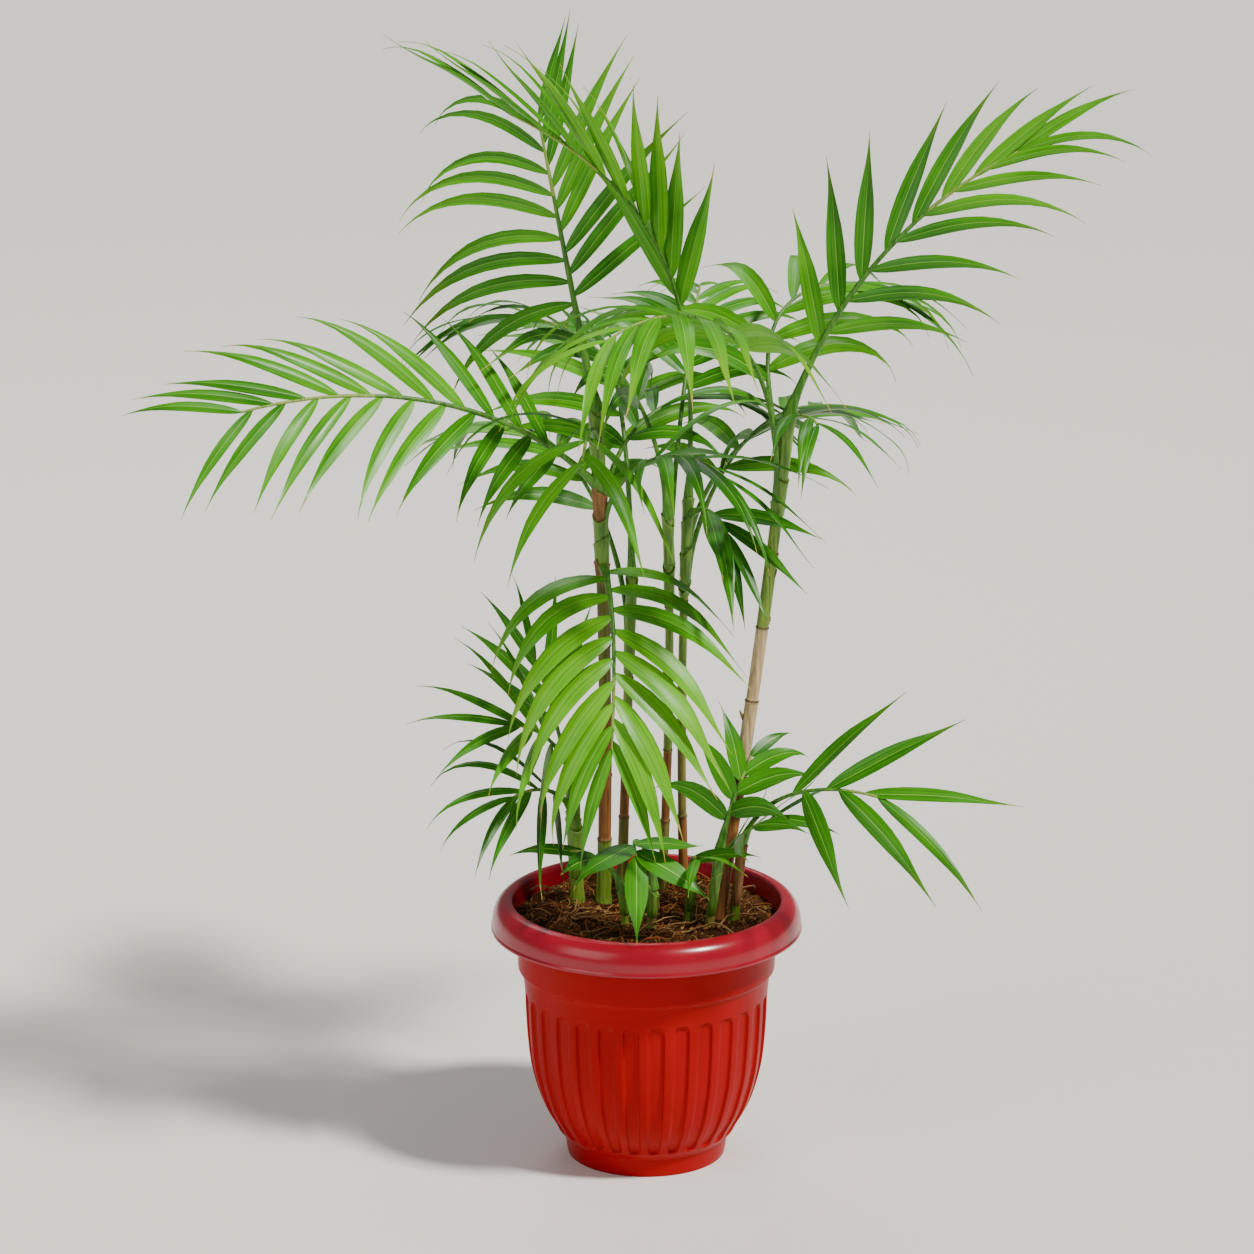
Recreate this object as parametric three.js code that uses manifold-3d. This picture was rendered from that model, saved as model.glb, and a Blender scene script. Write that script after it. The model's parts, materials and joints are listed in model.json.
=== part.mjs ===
// A clustering palm in a fluted plastic planter: pot, soil, canes and fronds.
// Millimetres, +Z up. The origin is the middle of the pot's flat underside.
// +X runs to the right of the plant's front and +Y runs to its back.
import * as THREE from "three";
import { mergeVertices } from "three/addons/utils/BufferGeometryUtils.js";
import Module from "manifold-3d";

const wasm = await Module();
wasm.setup();

// Driving dimensions of the planter
const RIM_R = 150; // outer edge of the rolled rim
const RIM_TOP = 260; // crest of the rim above the ground
const FOOT_R = 77; // flat foot that the planter stands on
const FLUTES = 30; // recessed panels round the body
const FLUTE_TURN = 4.5; // one panel lies this many degrees right of the front
const FLUTE_HALF = 3.95; // half of a panel's width in degrees
const FLUTE_BEVEL = 1.05; // width of a panel's sloped side in degrees
const FLUTE_DEPTH = 2;
const WALL = 3;
const FLOOR = 4;

// Driving dimensions of the plant
const SOIL_TOP = 247; // flat pad that the canes stand on
const SOIL_EDGE = 242; // soil level against the wall
const GAP = 0.3; // clearance between neighbouring pieces
const CANE_SIDES = 7;
const NODE_SWELL = 1.12; // a ring on a cane, against the cane beside it
const FOOT_FLARE = 1.3; // a cane's foot, against the cane above it
const PETIOLE_R = 3.2; // half of a petiole's side
const TIP_R = 1.9; // half of a midrib's side at its tip
const BLADE_THICKNESS = 1 / 85; // of a leaflet's length
const LEAF_STATIONS = [0, 0.25, 0.6]; // widths are taken here, then the tip
const NUDGES = [0, 6, -6, 12, -12, 18, -18, 26, -26, 34, -34]; // turns that a leaflet tries

// Each cane: foot and top of its axis in plan, height of its top, radii, ring spacing and,
// where its middle stands off the straight line, its bow
const CANES = [
  { name: "main", foot: [-42, 23], top: [-49, 0], height: 750, radii: [7, 5.5], bow: [5, 0], rings: 66 },
  { name: "right", foot: [68, -24], top: [134, 0], height: 745, radii: [7, 5.5], bow: [4, 0], rings: 72 },
  { name: "left", foot: [-67, 23], top: [-72, 18], height: 372, radii: [6.5, 5.5], rings: 40 },
  {
    name: "middle_left", foot: [15, 59], top: [20, 28],
    height: 640, radii: [4.6, 4], rings: 74, bow: [4, 0],
  },
  {
    name: "middle_right", foot: [37, 72], top: [40, 50],
    height: 650, radii: [4.6, 4], bow: [-4, 0], rings: 74,
  },
  { name: "rear", foot: [-24, 74], top: [-14, 90], height: 560, radii: [5.2, 4.2], rings: 70 },
  { name: "side", foot: [84, -28], top: [92, -34], height: 330, radii: [4.4, 3.6], rings: 34 },
  { name: "shoot", foot: [60, -50], top: [70, -52], height: 328, radii: [4, 3.4], rings: 30 },
  { name: "sprout_front", foot: [4, -54], top: [7, -56], height: 292, radii: [4.6, 3.6], rings: 22 },
  { name: "sprout_left", foot: [-20, -48], top: [-24, -50], height: 286, radii: [3.6, 3], rings: 22 },
  { name: "sprout_right", foot: [40, -36], top: [44, -40], height: 290, radii: [4.2, 3.4], rings: 22 },
].map((row) => ({ bow: [0, 0], ...row }));

// What a frond has unless its own row says otherwise. Angles are in degrees.
const USUAL = {
  sweep: 0, // turn of the bearing from foot to tip
  bend: 1.2, // how late the arch comes
  pairs: 8,
  leaflet: 150,
  width: 19,
  splay: [65, 22], // leaflet against midrib at the first pair and at the tip
  keel: 4, // lift of both rows above the frond's plane
  cant: 12, // turn of each blade about its own length, so that neighbours lap
  roll: 0, // turn of the frond's face about its midrib
  droop: 0.7,
  tip: 0.35, // how much shorter the last leaflets are
  base: 0.2, // how much shorter the first leaflets are
};

// Each frond: the cane and height that carry it, its bearing from +X, the rise of its
// foot, the arch that it loses on the way, and the lengths of its petiole and midrib.
// splayOther and droopOther are for the row on the midrib's left-hand side.
const FRONDS = [
  {
    name: "leader", cane: "main", at: 745, bearing: 168, rise: 79, arch: 0, petiole: 104, rachis: 174,
    pairs: 9, leaflet: 182, splay: [54, 20], splayOther: [84, 36], roll: 80, droop: 0.3, droopOther: 1.4,
    tip: 0.4, base: 0.1,
  },
  {
    name: "crest", cane: "middle_right", at: 645, bearing: 285, sweep: -100, rise: 80, arch: 54, bend: 1.5,
    petiole: 210, rachis: 280, pairs: 9, leaflet: 187, width: 26, splay: [32, 14], splayOther: [22, 12],
    keel: 50, cant: 30, droop: 0.4, tip: 0.25,
  },
  {
    name: "right", cane: "right", at: 740, bearing: 0, rise: 71, arch: 44, bend: 1.1, petiole: 75,
    rachis: 264, leaflet: 168, width: 23, splay: [50, 5], splayOther: [42, 6], keel: 10, roll: -76,
    droop: 0.9, droopOther: 0.4, tip: 0.25,
  },
  {
    name: "left", cane: "main", at: 668, bearing: 205, sweep: -10, rise: 50, arch: 62, bend: 0.85,
    petiole: 60, rachis: 322, pairs: 11, leaflet: 170, width: 21, splay: [38, 22], splayOther: [66, 34],
    keel: 8, roll: 58, droop: 0.4, droopOther: 0.7, tip: 0.3, base: 0.4,
  },
  {
    name: "front", cane: "main", at: 594, bearing: 285, sweep: -25, rise: -10, arch: 66, bend: 0.45,
    petiole: 14, rachis: 178, pairs: 9, leaflet: 184, width: 33, splay: [86, 24], keel: 10, cant: 22,
    droop: 2.1,
  },
  {
    name: "arch_left", cane: "right", at: 655, bearing: 246, sweep: -30, rise: 87, arch: 112, bend: 1.35,
    petiole: 178, rachis: 190, leaflet: 205, width: 31, splay: [74, 34], splayOther: [66, 30],
    droop: 2.4, droopOther: 1.5, tip: 0.3,
  },
  {
    name: "arch_right", cane: "right", at: 684, bearing: 150, sweep: -150, rise: 80, arch: 92, bend: 1.5,
    petiole: 90, rachis: 170, pairs: 6, leaflet: 178, width: 22, splay: [60, 20], keel: 5, roll: -10,
    droop: 1.4, tip: 0.2,
  },
  {
    name: "centre", cane: "middle_left", at: 632, bearing: 150, sweep: 30, rise: 84, arch: 92, bend: 1.5,
    petiole: 110, rachis: 180, leaflet: 168, width: 22, splay: [62, 20], droop: 1.3,
  },
  {
    name: "inner", cane: "middle_right", at: 596, bearing: 20, sweep: -100, rise: 76, arch: 84, bend: 1.3,
    petiole: 125, rachis: 130, pairs: 6, width: 22, droop: 1.4,
  },
  {
    name: "hook", cane: "main", at: 644, bearing: 62, sweep: -46, rise: 68, arch: 95, petiole: 70,
    rachis: 150, pairs: 7, droop: 1.4,
  },
  {
    name: "drape", cane: "main", at: 618, bearing: 326, rise: 82, arch: 120, petiole: 88, rachis: 112,
    pairs: 6, leaflet: 165, width: 20, splay: [60, 15], droop: 1.2,
  },
  {
    name: "veil", cane: "main", at: 712, bearing: 262, rise: 52, arch: 96, bend: 1, petiole: 44, rachis: 62,
    pairs: 3, leaflet: 165, width: 29, splay: [84, 34], droop: 2.3, tip: 0.1, base: 0,
  },
  {
    name: "fan", cane: "middle_right", at: 626, bearing: 312, sweep: -10, rise: 55, arch: 112, bend: 0.9,
    petiole: 30, rachis: 44, pairs: 4, leaflet: 140, width: 22, splay: [36, 8], roll: -15, droop: 0.5,
  },
  {
    name: "low_left", cane: "left", at: 366, bearing: 226, sweep: -14, rise: 78, arch: 62, bend: 1.1,
    petiole: 56, rachis: 50, pairs: 4, leaflet: 148, width: 19, splay: [40, 4], splayOther: [74, 20],
    keel: 8, roll: 50, droop: 0.3, droopOther: 0.8, tip: 0.2,
  },
  {
    name: "left_foot", cane: "left", at: 338, bearing: 232, sweep: -12, rise: 62, arch: 75, bend: 1,
    petiole: 40, rachis: 55, pairs: 4, leaflet: 140, width: 18, splay: [50, 10], splayOther: [70, 15],
    keel: 0, roll: 40, droop: 1,
  },
  {
    name: "left_rise", cane: "left", at: 330, bearing: 125, sweep: 40, rise: 80, arch: 12, bend: 1,
    petiole: 92, rachis: 70, pairs: 3, leaflet: 132, width: 17, splay: [34, 10], roll: 60, droop: 0.3,
  },
  {
    name: "low_right", cane: "side", at: 324, bearing: 300, sweep: 50, rise: 66, arch: 80, bend: 1,
    petiole: 96, rachis: 88, pairs: 3, leaflet: 160, width: 24, splay: [62, 24], splayOther: [34, 12],
    keel: 5, roll: -50, droop: 0.6, droopOther: 0.4, tip: 0.1, base: 0.1,
  },
  {
    name: "shoot", cane: "shoot", at: 322, bearing: 20, sweep: 40, rise: 80, arch: 36, petiole: 34,
    rachis: 66, pairs: 4, leaflet: 88, width: 25, splay: [58, 18], roll: -40, droop: 0.9, base: 0.1,
  },
  {
    name: "foot_right", cane: "shoot", at: 300, bearing: 320, sweep: 30, rise: 74, arch: 54, bend: 1,
    petiole: 38, rachis: 54, pairs: 3, leaflet: 104, width: 24, splay: [62, 24], roll: -10, droop: 0.35,
    base: 0.1,
  },
  {
    name: "sprout_front", cane: "sprout_front", at: 288, bearing: 170, sweep: 120, rise: 86, arch: 140,
    bend: 2, petiole: 78, rachis: 16, pairs: 2, leaflet: 84, width: 40, splay: [84, 12],
    splayOther: [80, 50], keel: 0, droop: 0.5, tip: 0,
  },
  {
    name: "sprout_left", cane: "sprout_left", at: 282, bearing: 195, rise: 80, arch: 75, bend: 1,
    petiole: 44, rachis: 30, pairs: 2, leaflet: 96, width: 21, splay: [50, 20], keel: 0, roll: 10,
    droop: 0.6,
  },
  {
    name: "sprout_right", cane: "sprout_right", at: 286, bearing: 262, sweep: 20, rise: 74, arch: 70,
    bend: 1, petiole: 36, rachis: 40, pairs: 2, leaflet: 92, width: 21, splay: [60, 20], keel: 0,
    roll: -10, droop: 0.8,
  },
  {
    name: "rear", cane: "rear", at: 556, bearing: 95, sweep: 10, rise: 76, arch: 98, bend: 1.3,
    petiole: 130, rachis: 260, leaflet: 165, width: 21, droop: 0.9,
  },
  {
    name: "rear_right", cane: "middle_right", at: 560, bearing: 55, sweep: -10, rise: 72, arch: 100,
    petiole: 110, rachis: 205, pairs: 6, leaflet: 158, width: 21, droop: 0.9,
  },
  {
    name: "rear_left", cane: "rear", at: 500, bearing: 118, sweep: 15, rise: 76, arch: 100, petiole: 130,
    rachis: 220, pairs: 7, leaflet: 155, width: 21, splay: [60, 22], droop: 1,
  },
  {
    name: "rear_top", cane: "middle_left", at: 585, bearing: 72, sweep: 15, rise: 80, arch: 84, bend: 1.5,
    petiole: 165, rachis: 180, splay: [62, 20], droop: 0.9,
  },
].map((row, i) => ({ ...USUAL, ...row, seed: i + 1 }));

// Colours and finish
const FINISH = {
  pot: { color: 0xc41f1c, roughness: 0.32, metalness: 0 },
  soil: { color: 0x3a2418, roughness: 0.95, metalness: 0 },
  cane: { color: 0x6f7f3a, roughness: 0.55, metalness: 0 },
  frond: { color: 0x4f8f2c, roughness: 0.42, metalness: 0 },
};

const radians = THREE.MathUtils.degToRad;
const mix = THREE.MathUtils.lerp;

// Closed shapes

// A closed indexed geometry from its corners and faces.
function shape(corners, faces) {
  const made = new THREE.BufferGeometry();
  made.setAttribute("position", new THREE.Float32BufferAttribute(corners.flatMap((c) => c.toArray()), 3));
  made.setIndex(faces.flat());
  return made;
}

// A skin over rings of equal size, capped flat at its start and at its end or run to a tip.
// Each ring turns anticlockwise as seen from the end.
function loft(rings, tip = null) {
  const n = rings[0].length;
  const corners = rings.flat();
  const faces = [];
  for (let j = 0; j + 1 < rings.length; j += 1) {
    for (let k = 0; k < n; k += 1) {
      const a = j * n + k;
      const b = j * n + ((k + 1) % n);
      faces.push([a, b, b + n], [a, b + n, a + n]);
    }
  }
  const last = (rings.length - 1) * n;
  for (let k = 1; k + 1 < n; k += 1) {
    faces.push([0, k + 1, k]);
    if (!tip) faces.push([last, last + k, last + k + 1]);
  }
  if (tip) {
    corners.push(tip);
    for (let k = 0; k < n; k += 1) faces.push([last + k, last + ((k + 1) % n), corners.length - 1]);
  }
  return shape(corners, faces);
}

// A geometry as a solid that can be cut and joined.
function solid(geometry) {
  const bare = new THREE.BufferGeometry();
  bare.setAttribute("position", geometry.getAttribute("position"));
  bare.setIndex(geometry.index);
  const merged = mergeVertices(bare, 1e-4);
  return new wasm.Manifold(
    new wasm.Mesh({
      numProp: 3,
      vertProperties: merged.attributes.position.array,
      triVerts: new Uint32Array(merged.index.array),
    }),
  );
}

// A solid as a geometry with flat faces.
function skin(body) {
  const { vertProperties, triVerts } = body.getMesh();
  const made = new THREE.BufferGeometry();
  made.setAttribute("position", new THREE.BufferAttribute(vertProperties, 3));
  made.setIndex(new THREE.BufferAttribute(triVerts, 1));
  const flat = made.toNonIndexed();
  flat.computeVertexNormals();
  return flat;
}

// The largest body of a solid that a cut has split.
function largest(body) {
  return body.decompose().reduce((best, one) => (one.volume() > best.volume() ? one : best));
}

// Two solids share some space.
function meets(one, other) {
  return one.intersect(other).volume() > 0;
}

// Planter

// Outer wall from the foot up: radius, height, recess of the panels, share of their width.
const OUTER_WALL = [
  [FOOT_R, 0],
  [FOOT_R + 3, 19],
  [FOOT_R + 7, 24],
  [87, 27, 0, 0.6],
  [91, 35, FLUTE_DEPTH, 1],
  [104.5, 62, FLUTE_DEPTH, 1],
  [113.5, 97, FLUTE_DEPTH, 1],
  [117.5, 145, FLUTE_DEPTH, 1],
  [118.1, 164, FLUTE_DEPTH, 0.72],
  [118.3, 168.5, 0, 0.35],
  [121, 188],
  [124.6, 191],
  [125, 200],
  [127.5, 230],
];

// The rolled rim: a lip that hangs outside the wall, and an arc from it over to the mouth.
const LIP_Z = 232;
const MOUTH_R = 130;
const RIM_STEPS = 4;
function rimProfile() {
  const crest = RIM_R - 17;
  const profile = [[RIM_R - 2, LIP_Z - 1]];
  for (let i = 0; i <= RIM_STEPS; i += 1) {
    const a = (i / RIM_STEPS) * (Math.PI / 2);
    const rise = (RIM_TOP - LIP_Z - 2) * Math.sin(a) ** 0.8;
    profile.push([crest + (RIM_R - crest) * Math.cos(a), LIP_Z + 2 + rise]);
  }
  profile.push([MOUTH_R, RIM_TOP - 2]);
  return profile;
}

// Inner wall from the mouth down to the floor.
const INNER_WALL = [
  [MOUTH_R - 3.5, RIM_TOP - 14],
  [117 - WALL, 130],
  [103 - WALL, 66],
  [FOOT_R - WALL, FLOOR + 1],
];

// One level ring of the wall: two corners a panel, or four where the panels are cut in.
function wallRing([radius, z, recess, share]) {
  const ring = [];
  for (let i = 0; i < FLUTES; i += 1) {
    const middle = -90 + FLUTE_TURN + (i * 360) / FLUTES;
    const half = FLUTE_HALF * (share ?? 1);
    const corners = [[-FLUTE_HALF, radius], [FLUTE_HALF, radius]];
    if (recess !== undefined) {
      corners.splice(1, 0, [FLUTE_BEVEL - half, radius - recess], [half - FLUTE_BEVEL, radius - recess]);
      corners[0][0] = -half;
      corners[3][0] = half;
    }
    for (const [turn, r] of corners) ring.push({ turn: middle + turn, r, z });
  }
  return ring;
}

// The planter's wall: its rings from the floor's underside up, over the rim and down inside.
function potBody() {
  const rings = [...OUTER_WALL, ...rimProfile(), ...INNER_WALL].map(wallRing);
  const corners = [];
  const starts = rings.map((ring) => {
    const start = corners.length;
    for (const { turn, r, z } of ring) {
      corners.push(new THREE.Vector3(r * Math.cos(radians(turn)), r * Math.sin(radians(turn)), z));
    }
    return start;
  });
  const faces = [];
  for (let j = 0; j + 1 < rings.length; j += 1) {
    const [low, high] = [rings[j], rings[j + 1]];
    const turnOf = (ring, i) => ring[i % ring.length].turn + 360 * Math.floor(i / ring.length);
    let i = 0;
    let k = 0;
    while (i < low.length || k < high.length) {
      const a = starts[j] + (i % low.length);
      const b = starts[j + 1] + (k % high.length);
      const lowNext = i < low.length ? turnOf(low, i + 1) : Infinity;
      const highNext = k < high.length ? turnOf(high, k + 1) : Infinity;
      if (lowNext <= highNext) {
        i += 1;
        faces.push([a, starts[j] + (i % low.length), b]);
      } else {
        k += 1;
        faces.push([a, starts[j + 1] + (k % high.length), b]);
      }
    }
  }
  corners.push(new THREE.Vector3(0, 0, 0), new THREE.Vector3(0, 0, FLOOR));
  const lastStart = starts[starts.length - 1];
  const lastSize = rings[rings.length - 1].length;
  for (let k = 0; k < rings[0].length; k += 1) {
    faces.push([corners.length - 2, (k + 1) % rings[0].length, k]);
  }
  for (let k = 0; k < lastSize; k += 1) {
    faces.push([corners.length - 1, lastStart + k, lastStart + ((k + 1) % lastSize)]);
  }
  return shape(corners, faces);
}

// The soil fills the planter up to a low mound, which is flat where the canes stand.
function soilBody() {
  const wall = INNER_WALL.filter(([, z]) => z < SOIL_EDGE).reverse();
  const inset = GAP + 1;
  const top = INNER_WALL[0][0] - inset - 1;
  const profile = [
    [0, FLOOR + GAP],
    [FOOT_R - WALL - inset - 1, FLOOR + GAP + 1],
    ...wall.slice(1).map(([r, z]) => [r - inset, z]),
    [top, SOIL_EDGE],
    [top - 9, SOIL_TOP - 1],
    [top - 16, SOIL_TOP],
    [0, SOIL_TOP],
  ];
  return new THREE.LatheGeometry(profile.map(([r, z]) => new THREE.Vector2(r, z)), 36).rotateX(Math.PI / 2);
}

// Canes

// The middle of a cane at a height.
function caneMiddle(cane, z) {
  const t = (z - SOIL_TOP) / (cane.height - SOIL_TOP);
  const bulge = 4 * t * (1 - t);
  const along = (i) => mix(cane.foot[i], cane.top[i], t) + cane.bow[i] * bulge;
  return new THREE.Vector3(along(0), along(1), z);
}

// A cane from its flat cut at the soil to its top, with a flared foot and raised rings.
function caneBody(cane, grown = 0) {
  const foot = SOIL_TOP + GAP;
  const stations = [
    [foot - grown, FOOT_FLARE],
    [foot + 5, 1.12],
    [foot + 14, 1],
  ];
  for (let z = foot + cane.rings; z < cane.height - 12; z += cane.rings) {
    stations.push([z, NODE_SWELL], [z + 4, 0.98]);
  }
  stations.push([cane.height + grown, 1]);
  const rings = stations.map(([z, swell]) => {
    const middle = caneMiddle(cane, z);
    const share = (z - SOIL_TOP) / (cane.height - SOIL_TOP);
    const r = mix(cane.radii[0], cane.radii[1], share) * swell + grown;
    return Array.from({ length: CANE_SIDES }, (_, k) => {
      const a = (k / CANE_SIDES) * 2 * Math.PI;
      return new THREE.Vector3(middle.x + r * Math.cos(a), middle.y + r * Math.sin(a), z);
    });
  });
  return loft(rings);
}

// Fronds

// A repeatable number from -1 to 1 for a frond's seed and a count.
function wobble(seed, count) {
  let x = (seed * 7919 + count * 104729 + 12345) % 2147483647;
  for (let i = 0; i < 3; i += 1) x = (x * 48271) % 2147483647;
  return x / 1073741823.5 - 1;
}

// The way a midrib runs at a share t of its length, with its side and its upper face.
function heading(frond, t) {
  const bearing = radians(frond.bearing + frond.sweep * t);
  const pitch = radians(frond.rise - frond.arch * t ** frond.bend);
  const along = new THREE.Vector3(
    Math.cos(pitch) * Math.cos(bearing),
    Math.cos(pitch) * Math.sin(bearing),
    Math.sin(pitch),
  );
  const level = new THREE.Vector3(Math.sin(bearing), -Math.cos(bearing), 0);
  const up = new THREE.Vector3().crossVectors(level, along);
  const roll = radians(frond.roll);
  const side = level.clone().multiplyScalar(Math.cos(roll)).addScaledVector(up, Math.sin(roll));
  const face = up.clone().multiplyScalar(Math.cos(roll)).addScaledVector(level, -Math.sin(roll));
  return { along, side, face };
}

const SPINE_STEPS = 24;
const RIB_STRIDE = 4; // a rib has a ring at every fourth step of its spine

// The points that a midrib follows, from the middle of its cane to its tip.
function spine(frond) {
  const cane = CANES.find(({ name }) => name === frond.cane);
  const points = [caneMiddle(cane, frond.at)];
  const step = (frond.petiole + frond.rachis) / SPINE_STEPS;
  for (let i = 0; i < SPINE_STEPS; i += 1) {
    const { along } = heading(frond, (i + 0.5) / SPINE_STEPS);
    points.push(points[i].clone().addScaledVector(along, step));
  }
  return points;
}

// The point on a midrib at a share t of its length.
function onSpine(points, t) {
  const x = Math.min(Math.max(t * SPINE_STEPS, 0), SPINE_STEPS - 1e-6);
  const i = Math.floor(x);
  return points[i].clone().lerp(points[i + 1], x - i);
}

// The petiole and midrib: a square rod that thins to its tip.
function ribBody(frond, points) {
  const rings = [];
  for (let i = 0; i <= SPINE_STEPS; i += RIB_STRIDE) {
    const t = i / SPINE_STEPS;
    const { side, face } = heading(frond, t);
    const r = mix(PETIOLE_R, TIP_R, t) * Math.SQRT2;
    rings.push(
      [0, 1, 2, 3].map((k) => {
        const a = ((k + 0.5) * Math.PI) / 2;
        const offset = face.clone().multiplyScalar(r * Math.cos(a)).addScaledVector(side, r * Math.sin(a));
        return points[i].clone().add(offset);
      }),
    );
  }
  return loft(rings);
}

// Where one leaflet leaves the midrib, which way it starts, how long it is and how it sags.
// The row is 1 or -1, and lift turns the leaflet about the midrib.
function leaflet(frond, points, pair, row, lift) {
  const count = 2 * pair + (row > 0 ? 1 : 0);
  const u = (pair + (row > 0 ? 0.35 : 0)) / (frond.pairs - 0.65);
  const t = (frond.petiole + frond.rachis * u) / (frond.petiole + frond.rachis);
  const { along, side, face } = heading(frond, t);
  const splay = row > 0 ? frond.splay : (frond.splayOther ?? frond.splay);
  const out = radians(mix(splay[0], splay[1], u) + 5 * wobble(frond.seed, 3 * count));
  const keel = radians(frond.keel + 6 * wobble(frond.seed, 3 * count + 1) + lift);
  const droop = row > 0 ? frond.droop : (frond.droopOther ?? frond.droop);
  const start = along
    .clone()
    .multiplyScalar(Math.cos(out))
    .addScaledVector(side, row * Math.cos(keel) * Math.sin(out))
    .addScaledVector(face, Math.sin(keel) * Math.sin(out));
  const flat = along.clone().addScaledVector(start, -along.dot(start)).normalize();
  const across = flat.applyAxisAngle(start.clone().normalize(), radians(row * frond.cant));
  const shorter = (1 - frond.tip * u * u) * (1 - frond.base * (1 - u) ** 3);
  return {
    root: onSpine(points, t),
    start,
    across,
    length: frond.leaflet * shorter * (1 + 0.06 * wobble(frond.seed, 3 * count + 5)),
    sag: droop * (1 + 0.25 * wobble(frond.seed, 3 * count + 2)),
    width: frond.width * (1 - TIP_SLIMMING * u * u),
  };
}

// The outline of a leaflet: its share of the full width at a share s of its length.
function outline(s) {
  return Math.sin(Math.PI * s ** 0.62) ** 0.9;
}

const LEAF_STEPS = 20;
const SAG_BEND = 1.6; // how late along a leaflet its sag comes
const TIP_SLIMMING = 0.4; // how much narrower the last leaflets are
const ROOT_SHARE = 0.16; // width of the root, against the leaflet's full width
const ROOT_RIDGE = 0.6; // height of the ridge at the root, against the ridge beyond

// A leaflet's blade: flat below, with a low ridge along its middle, run out to a point.
function leafletBody(leaf, grown = 0) {
  const down = new THREE.Vector3(0, 0, -1);
  const way = (s) => leaf.start.clone().addScaledVector(down, leaf.sag * s ** SAG_BEND).normalize();
  const middle = [leaf.root.clone()];
  for (let i = 0; i < LEAF_STEPS; i += 1) {
    const step = way((i + 0.5) / LEAF_STEPS).multiplyScalar(leaf.length / LEAF_STEPS);
    middle.push(middle[i].clone().add(step));
  }
  const rings = LEAF_STATIONS.map((s) => {
    const at = middle[Math.round(s * LEAF_STEPS)];
    const along = way(s);
    const across = leaf.across.clone().addScaledVector(along, -leaf.across.dot(along)).normalize();
    const up = new THREE.Vector3().crossVectors(along, across);
    const half = (leaf.width * Math.max(outline(s), ROOT_SHARE)) / 2 + grown;
    const ridge = leaf.length * BLADE_THICKNESS * (s > 0 ? 1 : ROOT_RIDGE) + grown;
    return [
      at.clone().addScaledVector(across, half).addScaledVector(up, -grown),
      at.clone().addScaledVector(up, ridge),
      at.clone().addScaledVector(across, -half).addScaledVector(up, -grown),
    ];
  });
  return loft(rings, middle[LEAF_STEPS]);
}

// Every frond as one solid. Each leaflet that would touch a cane, the planter, the soil or
// another frond is turned a little about its midrib, and left out if no turn clears it.
function frondBodies(canes, planter) {
  const grownCanes = canes.map((cane) => solid(caneBody(cane, GAP)));
  const ribs = FRONDS.map((frond) => {
    const points = spine(frond);
    const rod = grownCanes.reduce((left, cane) => left.subtract(cane), solid(ribBody(frond, points)));
    return { frond, points, rod: largest(rod), leaves: [] };
  });
  const fixed = [...grownCanes, ...planter];
  for (const one of ribs) {
    const others = ribs.filter((other) => other !== one);
    for (let pair = 0; pair < one.frond.pairs; pair += 1) {
      for (const row of [1, -1]) {
        for (const lift of NUDGES) {
          const leaf = leaflet(one.frond, one.points, pair, row, lift);
          const test = solid(leafletBody(leaf, GAP));
          const near = others.flatMap(({ rod, leaves }) => [rod, ...leaves]);
          const blocked = [...fixed, ...near].some((piece) => meets(test, piece));
          if (!blocked) {
            one.leaves.push(solid(leafletBody(leaf)));
            break;
          }
        }
      }
    }
  }
  return ribs.map(({ frond, rod, leaves }) => ({
    name: frond.name,
    body: largest(leaves.reduce((joined, leaf) => joined.add(leaf), rod)),
  }));
}

// Assembly

// A named mesh with its own material.
function piece(name, geometry, finish) {
  const mesh = new THREE.Mesh(geometry, new THREE.MeshStandardMaterial(finish));
  mesh.name = name;
  return mesh;
}

function assemble() {
  const plant = new THREE.Group();
  const pot = potBody();
  const soil = soilBody();
  plant.add(piece("pot", pot, FINISH.pot));
  plant.add(piece("soil", soil, FINISH.soil));
  for (const cane of CANES) {
    plant.add(piece(`cane_${cane.name}`, caneBody(cane), FINISH.cane));
  }
  for (const { name, body } of frondBodies(CANES, [solid(pot), solid(soil)])) {
    plant.add(piece(`frond_${name}`, skin(body), FINISH.frond));
  }
  return plant;
}

export default assemble();
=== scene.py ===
"""Looks of a clustering palm in a fluted plastic planter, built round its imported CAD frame.

Metres, +Z up. The origin is the middle of the planter's flat underside, +X runs to the right
of the plant's front and +Y to its back. Where a table gives millimetres, its comment or the
method that reads it says so; angles are in degrees.
"""

import json
import logging
import math
import random
from collections.abc import Sequence
from dataclasses import dataclass, replace
from enum import Enum
from functools import cache

import bmesh
import bpy
import numpy as np
from mathutils import Matrix, Vector, noise
from mathutils.kdtree import KDTree

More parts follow.
